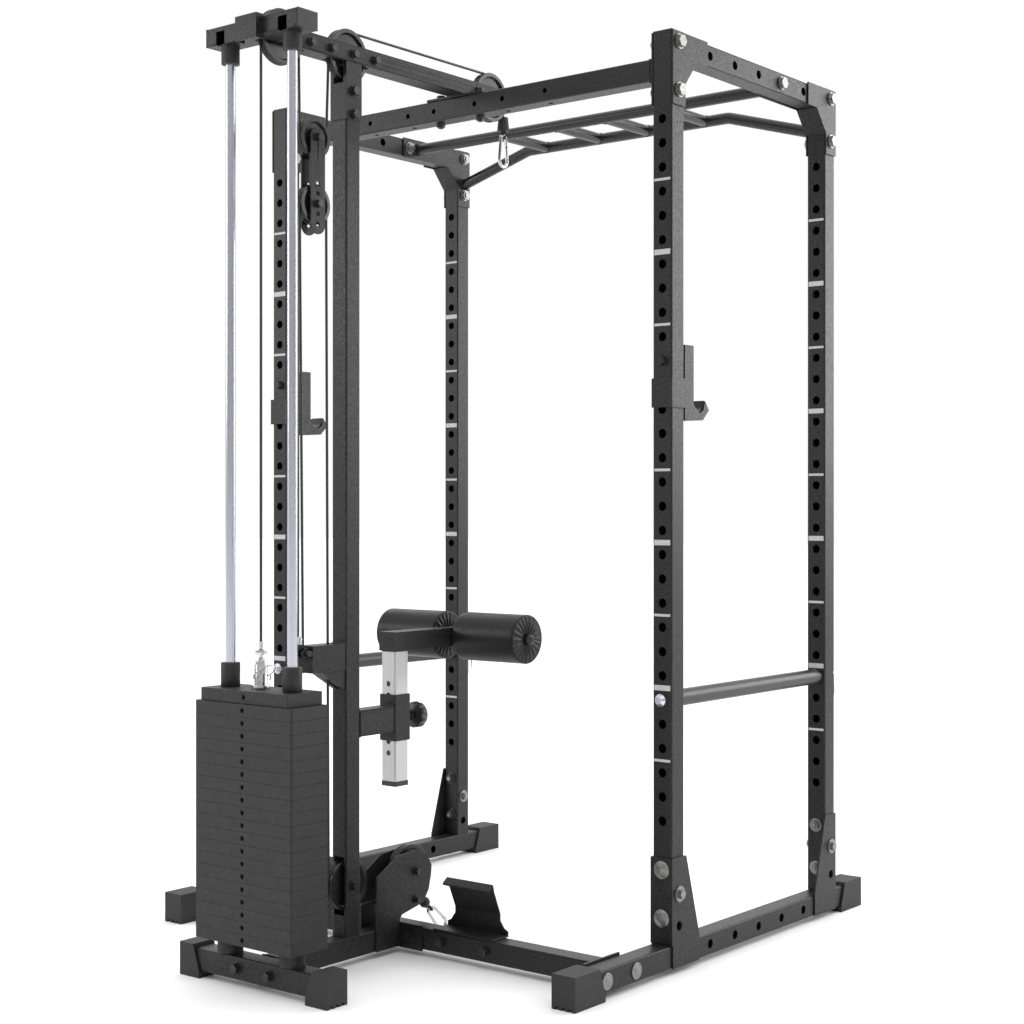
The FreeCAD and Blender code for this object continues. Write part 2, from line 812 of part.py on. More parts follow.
def tower_post():
    """Post of the tower, slotted for its pulleys, with the bracket of the low cable's anchor."""
    low = BASE_TOP + 0.2
    post = square_tube(
        "tower_tube", "z", (0, TOWER, low), BEAM_BASE - low - 1, D["tower_tube"], D["tower_tube"],
        holes=[
            ("x", LOW_PULLEY - low, 0, D["axle_bore"] + 0.4),
            *[("x", level - low, 0, BOLT_HOLE) for level in SLEEVE_BOLTS],
        ],
    )
    low_slot = box((-15, TOWER - 40, LOW_PULLEY - 66), (15, TOWER + 40, LOW_PULLEY + 66))
    top_slot = box((-15, TOWER - 40, TOP_PULLEY - 65), (15, TOWER + 40, BEAM_BASE))
    bracket = box((-TOWER_HALF, BRACKET_END, BRACKET_BASE), (TOWER_HALF, TOWER - TOWER_HALF, BRACKET_TOP))
    hollow = box(
        (-TOWER_HALF + WALL, BRACKET_END - 1, BRACKET_BASE + WALL),
        (TOWER_HALF - WALL, TOWER - TOWER_HALF - PLATE, BRACKET_TOP - WALL),
    )
    closing = box((-TOWER_HALF, BRACKET_END - 4, BRACKET_BASE), (TOWER_HALF, BRACKET_END, BRACKET_TOP))
    ears = []
    for side in (-1, 1):
        low_x, high_x = sorted((side * 8, side * 13))
        ears.append(box((low_x, ANCHOR_LINE, ANCHOR_LEVEL - 11), (high_x, BRACKET_END, ANCHOR_LEVEL + 11)))
        ears.append(rod("x", (low_x, ANCHOR_LINE, ANCHOR_LEVEL), high_x - low_x, 11))
    brace_points = (
        (BRACKET_END + 25, BRACKET_BASE + 1),
        (TOWER - TOWER_HALF + 0.5, BRACKET_BASE - 45),
        (TOWER - TOWER_HALF + 0.5, BRACKET_BASE + 1),
    )
    brace = flat_plate("bracket_brace", "YZ_Plane", brace_points, D["tower_tube"] - 8, (0, 0, 0))
    eye = rod("x", (-20, ANCHOR_LINE, ANCHOR_LEVEL), 40, 5.2)
    post_face = TOWER - TOWER_HALF
    cable_gap = box((-6, post_face - 42, BRACKET_BASE - 46), (6, post_face - 0.3, BRACKET_TOP + 1))
    arm = cut(fuse(cut(bracket, hollow), brace), cable_gap)
    welded = fuse(cut(post, low_slot, top_slot), arm, closing, *ears)
    keep(cut(welded, eye), "tower_post")


def lat_beam():
    """Beam over the cage, with the sleeve that sits on the post and the crossbeam's plate."""
    start = STACK + D["head_wide"] / 2
    length = D["lat_beam_front"] - start
    middle = D["lat_beam_deep"] / 2
    bore = D["axle_bore"] + 0.4
    rise = TOP_PULLEY - BEAM_BASE - middle
    along = (
        REAR_PULLEY + RETAINER_STEP,
        TOWER - RETAINER_STEP,
        TOWER,
        TOWER + RETAINER_STEP,
        D["front_pulley_line"] - RETAINER_STEP,
        D["front_pulley_line"],
    )
    tube = square_tube(
        "lat_tube", "y", (0, start, BEAM_BASE + middle), length, height=D["lat_beam_deep"],
        holes=[("x", line - start, rise, bore) for line in along],
    )
    slots = [
        box((-SLOT, line - 63, BEAM_BASE - 1), (SLOT, line + 63, BEAM_TOP + 1))
        for line in (REAR_PULLEY, TOWER, D["front_pulley_line"])
    ]
    outer = HALF
    inner = TOWER_HALF + 0.3
    sleeve = cut(
        box((-outer, TOWER - outer, SLEEVE_BASE), (outer, TOWER + outer, BEAM_BASE)),
        box((-inner, TOWER - inner, SLEEVE_BASE - 1), (inner, TOWER + inner, BEAM_BASE + 1)),
        box((-15, TOWER - 40, TOP_PULLEY - 65), (15, TOWER + 40, BEAM_BASE + 1)),
        *[rod("x", (-40, TOWER, level), 80, BOLT_HOLE / 2) for level in SLEEVE_BOLTS],
    )
    seat = D["top_beam_level"] + HALF + 0.3
    plate = cut(
        box((-88, REAR - HALF, seat), (88, REAR + HALF, BEAM_BASE)),
        *[rod("z", (side * TOP_BEAM_BOLTS, REAR, seat - 1), 10, BEAM_HOLE / 2) for side in (-1, 1)],
    )
    keep(fuse(cut(tube, *slots), sleeve, plate, stack_head_bar()), "lat_beam")


def stack_head_bar():
    """Rear end of the lat beam: cross tube with rod windows, and a guard behind the pulley."""
    half_deep = D["head_wide"] / 2 - 0.15
    back = STACK - half_deep
    tube = square_tube(
        "head_tube", "x", (-D["head_half"], STACK, HEAD_LEVEL), 2 * D["head_half"],
        width=2 * half_deep, height=D["lat_beam_deep"],
    )
    windows = []
    for side in (-1, 1):
        middle = side * D["rod_across"]
        windows.append(box((middle - 13, back - 1, BEAM_BASE - 1), (middle + 13, back + 8, BEAM_TOP - 11)))
        windows.append(rod("z", (middle, STACK, BEAM_BASE - 1), WALL + 2, D["rod_bore"] / 2 + 0.3))
    # The guard is a box on the back of the bar that covers the pulley's rear edge.
    guard = cut(
        box((-33, back - 15, BEAM_BASE - 8), (33, back + 10, BEAM_TOP + 5)),
        box((-29, back - 11, BEAM_BASE - 9), (29, back + 11, BEAM_TOP + 1)),
    )
    slot = box((-SLOT, REAR_PULLEY - 63, BEAM_BASE - 12), (SLOT, STACK + 40, BEAM_TOP + 12))
    return cut(fuse(cut(tube, *windows), guard), slot)


def rods_and_mounts():
    """Polished guide rods, the sockets that hold their tops and the bumpers at their feet."""
    radius = D["rod_bore"] / 2
    socket_base = BEAM_BASE - 38
    rods = []
    sockets = []
    bumpers = []
    for _, side in SIDES:
        across = side * D["rod_across"]
        rods.append(rod("z", (across, STACK, BASE_TOP + 0.2), BEAM_BASE + 8 - BASE_TOP, radius))
        hollow = rod("z", (across, STACK, socket_base - 1), 50, radius + 0.2)
        sockets.append(cut(rod("z", (across, STACK, socket_base), 37.8, 20), hollow))
        hollow = rod("z", (across, STACK, BASE_TOP - 1), 50, radius + 0.2)
        height = D["stack_base"] - BASE_TOP - 0.5
        bumpers.append(cut(rod("z", (across, STACK, BASE_TOP + 0.3), height, 28), hollow))
    keep(group(*rods), "guide_rods")
    keep(group(*sockets, *bumpers), "rod_sockets_and_bumpers")


def row_pulley_plates():
    """The two plates that hold the low-row pulley, welded to the sides of the floor tube."""
    line = D["row_pulley_line"]
    crossmember_edge = CROSS - HALF
    points = (
        (line - 135, 15),
        (crossmember_edge - FLANGE - 1, 15),
        (crossmember_edge - FLANGE - 1, 78),
        (crossmember_edge + 2, 86),
        (line + 26, 101),
        (line + 46, 130),
        (line + 54, 162),
        (line + 56, 186),
        (line + 38, 216),
        (line + 2, 229),
        (line - 65, 224),
        (line - 133, 184),
    )
    holes = (
        ((line, LOW_PULLEY), D["axle_bore"] + 0.4),
        ((line, LOW_PULLEY - 67), 8.4),
    )
    offset = TOWER_HALF + PLATE / 2
    plates = [
        flat_plate("row_plate", "YZ_Plane", points, PLATE, (side * offset, 0, 0), holes) for side in (-1, 1)
    ]
    keep(group(*plates), "row_pulley_plates")


# ---------------------------------------------------------------- pulleys and block


def pulley(name, rim, wrap, at):
    """A grooved wheel: dished web, thick hub, and a groove that holds the cable."""
    rim_half = D["pulley_half"]
    floor = wrap - CABLE - 0.4
    bore = D["axle_bore"] / 2 + 0.05
    hub = 13
    lip = rim - 9
    half_profile = (
        (rim_half + 1, bore),
        (rim_half + 1, hub),
        (5, hub + 2),
        (4, lip - 4),
        (rim_half, lip),
        (rim_half, rim - 1),
        (rim_half - 1, rim),
        (rim_half - 2.5, rim),
        (3, floor + 1),
        (1.6, floor),
    )
    mirrored = [(-as_size(along), radius) for along, radius in reversed(half_profile)]
    body, turn = turned(name, "x", (*half_profile, *mirrored))
    keep(place(body, at, turn), name)


def make_pulleys():
    big = (D["big_rim"], D["big_wrap"])
    small = (D["small_rim"], D["small_wrap"])
    pulley("pulley_top_rear", *big, (0, REAR_PULLEY, TOP_PULLEY))
    pulley("pulley_top_middle", *big, (0, TOWER, TOP_PULLEY))
    pulley("pulley_top_front", *big, (0, D["front_pulley_line"], TOP_PULLEY))
    pulley("pulley_base", *big, (0, TOWER, LOW_PULLEY))
    pulley("pulley_low_row", *big, (0, D["row_pulley_line"], LOW_PULLEY))
    pulley("pulley_block_upper", *small, (0, BLOCK, D["block_upper"]))
    pulley("pulley_block_lower", *small, (0, BLOCK, D["block_lower"]))


def floating_block():
    """Two long plates that hold the block's pulleys, with spare holes to set cable tension."""
    upper = D["block_upper"]
    lower = D["block_lower"]
    step = 22.3
    half_width = 22.4
    spare = [lower + step * count for count in (2, 1, -1, -2)]
    bottom = lower - 2 * step
    bore = D["axle_bore"] / 2
    solids = []
    for side in (-1, 1):
        low_x, high_x = sorted((side * 12, side * 16))
        plate = fuse(
            box((low_x, BLOCK - half_width, bottom), (high_x, BLOCK + half_width, upper)),
            rod("x", (low_x, BLOCK, upper), 4, half_width),
            rod("x", (low_x, BLOCK, bottom), 4, half_width),
        )
        holes = [rod("x", (low_x - 1, BLOCK, level), 6, 5) for level in spare]
        holes += [rod("x", (low_x - 1, BLOCK, level), 6, bore + 0.1) for level in (upper, lower)]
        solids.append(cut(plate, *holes))
    keep(group(*solids), "block_plates")


# ---------------------------------------------------------------- cables


def tangent(first, second, crossing):
    """The straight run that leaves one wheel and meets the next.

    A wheel is (y, z, radius, turn): turn is +1 where the cable goes round anticlockwise as seen
    from +X, with +Y to the right, and -1 where it goes round clockwise."""
    (y1, z1, r1, turn1), (y2, z2, r2, turn2) = first, second
    dy, dz = y2 - y1, z2 - z1
    span = math.hypot(dy, dz)
    lean = math.asin((turn1 * r1 - turn2 * r2) / span)
    heading = math.atan2(dz, dy) + lean
    normal = (math.sin(heading), -math.cos(heading))
    start = (y1 + normal[0] * r1 * turn1, z1 + normal[1] * r1 * turn1)
    end = (y2 + normal[0] * r2 * turn2, z2 + normal[1] * r2 * turn2)
    return start, end, crossing


def cable_path(wheels):
    """A tangent-continuous wire round a row of wheels; a wheel of no radius is an end point."""
    runs = [tangent(wheels[index], wheels[index + 1], None)[:2] for index in range(len(wheels) - 1)]
    edges = []
    length = 0
    for index, (start, end) in enumerate(runs):
        line = Part.LineSegment(Vector(0, *start), Vector(0, *end)).toShape()
        edges.append(line)
        length += line.Length
        if index + 1 == len(runs):
            break
        y, z, radius, turn = wheels[index + 1]
        leave = runs[index + 1][0]
        first = math.atan2(end[1] - z, end[0] - y)
        last = math.atan2(leave[1] - z, leave[0] - y)
        sweep = (last - first) % (2 * math.pi) if turn > 0 else (last - first) % (2 * math.pi) - 2 * math.pi
        middle = first + sweep / 2
        through = Vector(0, y + radius * math.cos(middle), z + radius * math.sin(middle))
        arc = Part.Arc(Vector(0, *end), through, Vector(0, *leave)).toShape()
        edges.append(arc)
        length += arc.Length
    return Part.Wire(edges), length


def cable(label, wheels):
    path, length = cable_path(wheels)
    first = path.Edges[0]
    start = first.valueAt(first.FirstParameter)
    direction = first.tangentAt(first.FirstParameter)
    ring = Part.Wire([Part.Circle(start, direction, CABLE.value).toShape()])
    shape = path.makePipeShell([ring], True, True)
    expected = math.pi * CABLE.value**2 * length
    if abs(shape.Volume / expected - 1) > 0.01:
        raise RuntimeError(f"{label}: the swept volume is wrong")
    print(f"{label}: {length:.0f} mm long")
    shape_node(label, [shape])


CLEVIS_TOP = 727
LAT_STOP_TOP = 2013
LAT_STOP_BASE = 1979
LOW_STOP = (-203, 92)
LOW_BALL = 13
LOW_HOOK_TURN = 45


def make_cables():
    """The lat cable from the stack to its handle, and the low cable from its anchor."""
    big = D["big_wrap"].value
    small = D["small_wrap"].value
    top = TOP_PULLEY.value
    low = LOW_PULLEY.value
    tower = TOWER.value
    front = D["front_pulley_line"].value
    lat = (
        (STACK.value, CLEVIS_TOP, 0, 1),
        (REAR_PULLEY.value, top, big, -1),
        (BLOCK.value, D["block_upper"].value, small, 1),
        (tower, top, big, -1),
        (front, top, big, -1),
        (front + big, LAT_STOP_TOP, 0, 1),
    )
    cable("lat_cable", lat)
    low_route = (
        (ANCHOR_LINE.value, ANCHOR_LEVEL + 16, 0, 1),
        (BLOCK.value, D["block_lower"].value, small, -1),
        (tower, low, big, 1),
        (D["row_pulley_line"].value, low, big, 1),
        (LOW_STOP[0] - 2, LOW_STOP[1] + LOW_BALL + 3.6, 0, 1),
    )
    cable("low_cable", low_route)


# ---------------------------------------------------------------- cable ends

WIRE = 4
EYE_RADIUS = 7.7
EYE_WIRE = 2.5


def snap_hook(name, top, turn_degrees):
    """A wire snap hook, the ring that it hangs from, and the gate that closes its side.

    top is the middle of the ring. The hook hangs down from it, turned by turn_degrees about X,
    and its loop lies in the Y-Z plane."""
    bend = 9
    wide = 15
    long = 80
    gate_top = 24
    gate_end = 58
    left = (-bend, -bend)
    lower_left = (-wide, wide - long)
    lower_right = (wide, wide - long)
    pivot = (wide - 1, -gate_end)
    nose = (bend + 3, -gate_top)

    def point(pair):
        return Vector(0, *pair)

    loop = Part.Wire(
        [
            Part.Arc(point((bend, -bend)), point((0, 0)), point(left)).toShape(),
            Part.LineSegment(point(left), point(lower_left)).toShape(),
            Part.Arc(point(lower_left), point((0, -long)), point(lower_right)).toShape(),
            Part.LineSegment(point(lower_right), point(pivot)).toShape(),
        ]
    )
    stub = Part.Wire([Part.LineSegment(point((bend, -bend)), point(nose)).toShape()])
    pieces = []
    for wire in (loop, stub):
        start = wire.Edges[0].valueAt(wire.Edges[0].FirstParameter)
        direction = wire.Edges[0].tangentAt(wire.Edges[0].FirstParameter)
        ring = Part.Wire([Part.Circle(start, direction, WIRE).toShape()])
        pieces.append(wire.makePipeShell([ring], True, True, 2))
    hook = pieces[0].fuse(pieces[1])
    start = point(nose) + Vector(0, 0.4, -1)
    end = point(pivot) + Vector(0, -0.1, 2.2)
    gate = Part.makeCylinder(3.4, (end - start).Length, start, end - start)
    gate = gate.fuse(Part.makeCylinder(2, 8, end - Vector(4, 0, 0), DIRECTIONS["x"]))
    spin = Placement(Vector(*[float(value) for value in top]), Rotation(Vector(1, 0, 0), turn_degrees))
    for label, shape in ((name, hook), (f"{name}_gate", gate)):
        shape.Placement = spin
        shape_node(label, [shape])
    eye = doc.addObject("Part::Torus", "Eye")
    bind(eye, "Radius1", EYE_RADIUS)
    bind(eye, "Radius2", EYE_WIRE)
    turn = Rotation(Vector(1, 0, 0), turn_degrees + 90)
    place(eye, top, turn)
    # The hook swings on this straight part of its ring.
    hung = spin.multVec(Vector(-6, 0, -bend))
    return fuse(eye, rod("x", tuple(hung), 12, EYE_WIRE))


def cable_ends():
    """Rubber stops with steel eyes, and snap hooks, at both handle ends."""
    line = D["front_pulley_line"] + D["big_wrap"]
    height = LAT_STOP_TOP - LAT_STOP_BASE
    reach = EYE_RADIUS + EYE_WIRE - 1
    stop = cone("z", (0, line, LAT_STOP_BASE), height - 0.2, 15.5, 12)
    eye = snap_hook("lat_hook", (0, line, LAT_STOP_BASE - reach), 0)
    keep(fuse(stop, eye), "lat_cable_stop")
    ball = doc.addObject("Part::Sphere", "Ball")
    bind(ball, "Radius", LOW_BALL)
    place(ball, (0, *LOW_STOP))
    lean = math.radians(LOW_HOOK_TURN)
    far = LOW_BALL + reach
    top = (0, LOW_STOP[0] + far * math.sin(lean), LOW_STOP[1] - far * math.cos(lean))
    keep(fuse(ball, snap_hook("low_hook", top, LOW_HOOK_TURN)), "low_cable_stop")


# ---------------------------------------------------------------- weight stack


def weight_plate(name, level, count):
    """A column of equal plates, drilled for the rods, the stem and the selector pin."""
    body = new_body(name)
    sketch = new_sketch(body, "XY_Plane")
    half_wide = D["plate_wide"] / 2
    half_deep = D["plate_deep"] / 2
    corner = 4
    outline(
        sketch,
        (
            (-half_wide + corner, -half_deep),
            (half_wide - corner, -half_deep),
            (half_wide, -half_deep + corner),
            (half_wide, half_deep - corner),
            (half_wide - corner, half_deep),
            (-half_wide + corner, half_deep),
            (-half_wide, half_deep - corner),
            (-half_wide, -half_deep + corner),
        ),
    )
    circle(sketch, (0, 0), D["stem_bore"] / 2 + 1)
    for side in (-1, 1):
        circle(sketch, (side * D["rod_across"], 0), D["rod_bore"] / 2 + 1.5)
    pad(body, sketch, D["plate_thick"])
    pin_hole = new_sketch(body, "XZ_Plane")
    circle(pin_hole, (0, D["plate_thick"] / 2), 5.2)
    pierce(body, pin_hole)
    place(body, (0, STACK, level))
    doc.recompute()
    plates = []
    for step in range(count):
        plate = body.Shape.copy()
        plate.translate(Vector(0, 0, D["plate_pitch"].value * step))
        plates.append(plate)
    return plates


def weight_stack():
    """Plates, head plate, bushes, stem and pin. The pin goes in from the front."""
    count = int(D["plate_count"].value)
    picked = int(D["plates_picked"].value)
    pitch = D["plate_pitch"]
    resting = count - picked
    shape_node("weight_plates_resting", weight_plate("plate_resting", D["stack_base"], resting))
    first = D["stack_base"] + pitch * resting
    shape_node("weight_plates_picked", weight_plate("plate_picked", first, picked))

    head_base = D["stack_base"] + pitch * count
    head_top = head_base + 28
    rod_hole = D["rod_bore"] / 2 + 0.5
    stem = D["stem_bore"] / 2
    drilled = [
        rod("z", (side * D["rod_across"], STACK, head_base - 1), 40, D["rod_bore"] / 2 + 1.5)
        for side in (-1, 1)
    ]
    drilled.append(rod("y", (0, STACK - 60, head_base + 14), 120, 5.2))
    head = box((-134, STACK - 51, head_base), (134, STACK + 51, head_top))
    bushes = [cut(head, *drilled, rod("z", (0, STACK, head_base - 1), 40, stem + 0.3))]
    for side in (-1, 1):
        across = side * D["rod_across"]
        bush = rod("z", (across, STACK, head_top + 0.2), 52, 21)
        bushes.append(cut(bush, rod("z", (across, STACK, head_top - 1), 60, rod_hole)))
    keep(group(*bushes), "head_plate")

    stem_top = CLEVIS_TOP - 31
    column = rod("z", (0, STACK, D["stack_base"] + 6), stem_top - D["stack_base"] - 6, stem)
    collar = rod("z", (0, STACK, stem_top), 10, 11.5)
    screw = rod("z", (0, STACK, stem_top + 9), 14, 5)
    clevis = rod("z", (0, STACK, CLEVIS_TOP - 10), 9.8, 12)
    shoulder = rod("z", (0, STACK, head_top), 8, stem + 5)
    pin_holes = [
        rod("y", (0, STACK - 40, D["stack_base"] + pitch * step + D["plate_thick"] / 2), 80, 5.2)
        for step in range(count)
    ]
    keep(cut(fuse(column, collar, screw, clevis, shoulder), *pin_holes), "selector_stem")

    level = D["stack_base"] + pitch * resting + D["plate_thick"] / 2
    tip = STACK - 20
    grip_at = STACK + D["plate_deep"] / 2 + 3
    shaft = rod("y", (0, tip, level), grip_at - tip + 5, 4.9)
    grip = rod("y", (0, grip_at, level), 30, 12)
    knob = cone("y", (0, grip_at + 30, level), 8, 16, 12)
    keep(fuse(shaft, grip, knob), "selector_pin")


# ---------------------------------------------------------------- J-cups and safety bars


def j_cup():
    """Hook for the bar: a channel on the upright's inner face, its pin, strap and side plates."""
    line = REAR + HALF
    level = D["cup_level"]
    gauge = PLATE
    gap = 0.5
    near = line + 5
    face = near + 36
    low = level - 130.5
    profile = (
        (near, level + 38.5),
        (face, level + 38.5),
        (face, level - 90),
        (face + 9, level - 105),
        (face + 26, level - 112),
        (face + 41, level - 104),
        (face + 48, level - 83.5),
        (face + 64, level - 103.5),
        (face + 38, level - 127.5),
        (face - 18, low),
        (near, low),
    )
    sides = [
        flat_plate("cup_side", "YZ_Plane", profile, gauge, (POST + side * (HALF - 3), 0, 0))
        for side in (-1, 1)
    ]
    web = box((POST - HALF + 3, near, low), (POST + HALF - 3, near + gauge, level + 38.5))
    floor = box((POST - HALF + 3, near, low), (POST + HALF - 3, face - 18, low + gauge))
    pin_radius = D["pin_bore"] / 2
    pin = rod("y", (POST, REAR - HALF - 4, level), TUBE + 16, pin_radius)
    head = rod("y", (POST, REAR - HALF - 12, level), 9, pin_radius)
    # The strap runs round the outer side of the upright and is open on the inner side.
    outer = HALF + gap
    strap_base = level - 103
    strap_top = level - 38
    strap = fuse(
        box(
            (POST + outer, REAR - outer - gauge, strap_base),
            (POST + outer + gauge, near + gauge, strap_top),
        ),
        box(
            (POST - outer, REAR - outer - gauge, strap_base),
            (POST + outer + gauge, REAR - outer, strap_top),
        ),
        box((POST + HALF - 6, near, strap_base), (POST + outer + gauge, near + gauge, strap_top)),
    )
    keep_pair(fuse(*sides, web, floor, pin, head, strap), "j_cup")

    liner_profile = (
        (near + gauge + 0.3, level + 36),
        (face - 1, level + 36),
        (face - 1, level - 85),
        (face + 8, level - 98),
        (face + 26, level - 106),
        (face + 43, level - 97),
        (face + 49, level - 82),
        (face + 52, level - 86),
        (face + 45, level - 103),
        (face + 26, level - 113),
        (face + 7, level - 105),
        (face - 6, level - 95),
        (near + gauge + 0.3, level - 95),
    )
    liner = flat_plate("cup_liner", "YZ_Plane", liner_profile, TUBE - 10.6, (POST, 0, 0))
    keep_pair(cut(liner, rod("y", (POST, REAR, level), 80, pin_radius + 0.2)), "j_cup_liner")


def safety_bars():
    """Pipes between the uprights, the steel pins that carry them and the tabs that lock these."""
    level = D["safety_level"]
    radius = D["pin_bore"] / 2
    start = REAR + HALF
    clear = D["bay_depth"] - TUBE
    outer = D["safety_pipe"] / 2
    pipe = cut(
        rod("y", (POST, start + 1, level), clear - 2, outer),
        rod("y", (POST, start, level), clear + 2, radius + 0.5),
    )
    keep_pair(pipe, "safety_pipe")
    back = REAR - HALF
    front = FRONT + HALF
    shaft = rod("y", (POST, back - 2, level), front - back + 34, radius)
    shoulder = rod("y", (POST, back - 8.5, level), 8, 14)
    dome = cone("y", (POST, back - 17, level), 8.5, 8, 13.5)
    # The front end is a fork: a slot across it takes the tab.
    pivot = front + 17
    slot = box((POST - 3.2, front + 3, level - 12), (POST + 3.2, front + 40, level + 12))
    cross_pin = rod("x", (POST - 9, pivot, level), 18, 3)
    right = fuse(cut(fuse(shaft, shoulder, dome), slot), cross_pin)
    keep(group(right, mirror(right)), "safety_pins")
    tab_profile = (
        (front + 8, level + 10),
        (front + 26, level + 10),
        (front + 29, level + 5),
        (front + 29, level - 66),
        (front + 20, level - 78),
        (front + 14, level - 78),
        (front + 5, level - 66),
        (front + 5, level + 5),
    )
    tab = flat_plate("tab", "YZ_Plane", tab_profile, 5, (POST, 0, 0), [((pivot, level), 6.8)])
    keep_pair(tab, "safety_tab")


# ---------------------------------------------------------------- knee rollers

KNEE_HOLE_PITCH = 26.8
KNEE_PIN_LEVEL = 542
KNEE_SLEEVE = (490, 598)


def knee_unit():
    """Sleeve on the tower, sliding post with its arm, the locking knob and the two rollers."""
    half = HALF
    stub = square_tube(
        "knee_stub", "y", (0, TOWER + TOWER_HALF + 0.3, KNEE_PIN_LEVEL),
        KNEE - half - TOWER - TOWER_HALF, width=D["tower_tube"], height=as_size(60),
    )
    inner = HALF - WALL
    boss_start = KNEE + half
    sleeve = cut(
        fuse(
            box((-half, KNEE - half, KNEE_SLEEVE[0]), (half, KNEE + half, KNEE_SLEEVE[1])),
            rod("y", (0, boss_start - 1, KNEE_PIN_LEVEL), 28, 11),
        ),
        box((-inner, KNEE - inner, KNEE_SLEEVE[0] - 1), (inner, KNEE + inner, KNEE_SLEEVE[1] + 1)),
        rod("y", (0, KNEE, KNEE_PIN_LEVEL), 70, 5.2),
    )
    keep(fuse(stub, sleeve), "knee_roller_holder")

    post_base = 396
    arm_base = D["roller_level"] - 22
    arm_top = D["roller_level"] + 22
    width = D["knee_tube"]
    lowest = KNEE_PIN_LEVEL - post_base
    holes = [("y", lowest + KNEE_HOLE_PITCH * step, 0, 13) for step in range(-3, 4)]
    length = arm_base - post_base - 0.2
    keep(square_tube("knee_tube", "z", (0, KNEE, post_base), length, width, width, holes), "knee_post")
    plug_half = width / 2
    plug = fuse(
        box((-plug_half, KNEE - plug_half, post_base - 12), (plug_half, KNEE + plug_half, post_base - 0.2)),
        box(
            (-plug_half + WALL + 0.3, KNEE - plug_half + WALL + 0.3, post_base - 1),
            (plug_half - WALL - 0.3, KNEE + plug_half - WALL - 0.3, post_base + 14),
        ),
    )
    keep(plug, "knee_post_plug")

    arm = box((-HALF, KNEE - HALF - 2, arm_base), (HALF, D["roller_line"] + 22, arm_top))
    axle_half = D["roller_end"] + 4
    axle = rod("x", (-axle_half, D["roller_line"], D["roller_level"]), 2 * axle_half, 8)
    domes = []
    for side in (-1, 1):
        if side < 0:
            domes.append(cone("x", (-axle_half - 9, D["roller_line"], D["roller_level"]), 9.5, 5, 11))
        else:
            domes.append(cone("x", (axle_half - 0.5, D["roller_line"], D["roller_level"]), 9.5, 11, 5))
    keep(fuse(arm, axle, *domes), "knee_roller_arm")

    start = HALF + 2
    length = D["roller_end"] - start
    edge = 6
    radius = D["roller_radius"]
    bore = 8.3
    profile = (
        (0, bore),
        (length, bore),
        (length, radius - edge),
        (length - edge, radius),
        (edge, radius),
        (0, radius - edge),
    )
    body, turn = turned("knee_roller", "x", profile)
    place(body, (start, D["roller_line"], D["roller_level"]), turn)
    keep_pair(body, "knee_roller")

    knob_start = boss_start + 33
    knob_profile = (
        (0, 0),
        (0, 14),
        (6, 30),
        (9, 31),
        (22, 31),
        (27, 27),
        (28, 0),
    )
    knob, turn = turned("knob", "y", knob_profile)
    grip = new_sketch(knob, "XY_Plane")
    circle(grip, (35.5, 0), 8.5)
    scoop = pierce(knob, grip)
    lobes = knob.newObject("PartDesign::PolarPattern", "Lobes")
    lobes.Originals = [scoop]
    lobes.Axis = (grip, ["N_Axis"])
    lobes.Angle = 360
    lobes.Occurrences = 9
    knob.Tip = lobes
    place(knob, (0, knob_start, KNEE_PIN_LEVEL), turn)
    # The pin ends just short of the post, so that the post slides in its sleeve by itself.
    pin = rod("y", (0, KNEE + inner + 0.2, KNEE_PIN_LEVEL), knob_start - KNEE - inner + 2, 4.8)
    keep(fuse(knob, pin), "knee_lock_knob")


# ---------------------------------------------------------------- rubber, caps and bolts


def foot_sleeve(half_width, half_height, length, wall, direction):
    """Rubber boot along Y on the end of a floor tube, longer below than above."""
    body = new_body("boot")
    sketch = new_sketch(body, "YZ_Plane")
    low = -BASE
    top = half_height + 8
    back = -wall
    outline(
        sketch,
        (
            (back * direction, low),
            ((length + 20) * direction, low),
            ((length + 20) * direction, low + 14),
            (length * direction, top),
            (back * direction, top),
        ),
    )
    pad(body, sketch, 2 * (half_width + 5.5), middle=True)
    grooves = new_sketch(body, "XZ_Plane")
    for across in (-17, 0, 17):
        corners = ((-3, -1), (3, -1), (3, 6), (-3, 6))
        outline(grooves, [(across + along, low + level) for along, level in corners])
    pierce(body, grooves)
    return body


def rubber_feet():
    """Boots on the four ends of the base rails and the two ends of the tower's foot."""
    boots = []
    for end, direction in ((D["rail_rear"], 1), (D["rail_front"], -1)):
        boot = foot_sleeve(HALF, HALF, 80, 8, direction)
        place(boot, (POST, end, BASE))
        low_y = end if direction > 0 else end - 130
        hollow = box(
            (POST - HALF - 0.2, low_y - 0.2, BASE - HALF - 0.2),
            (POST + HALF + 0.2, low_y + 130.2, BASE + HALF + 0.2),
        )
        boots.append(cut(boot, hollow))
    tower = foot_sleeve(HALF, HALF, 36, 8, 1)
    place(tower, (220, STACK, BASE), Rotation(Vector(0, 0, 1), 90))
    hollow = box(
        (100, STACK - HALF - 0.2, BASE - HALF - 0.2), (220.2, STACK + HALF + 0.2, BASE + HALF + 0.2)
    )
    boots.append(cut(tower, hollow))
    keep(group(*boots, *[mirror(item) for item in boots]), "rubber_feet")


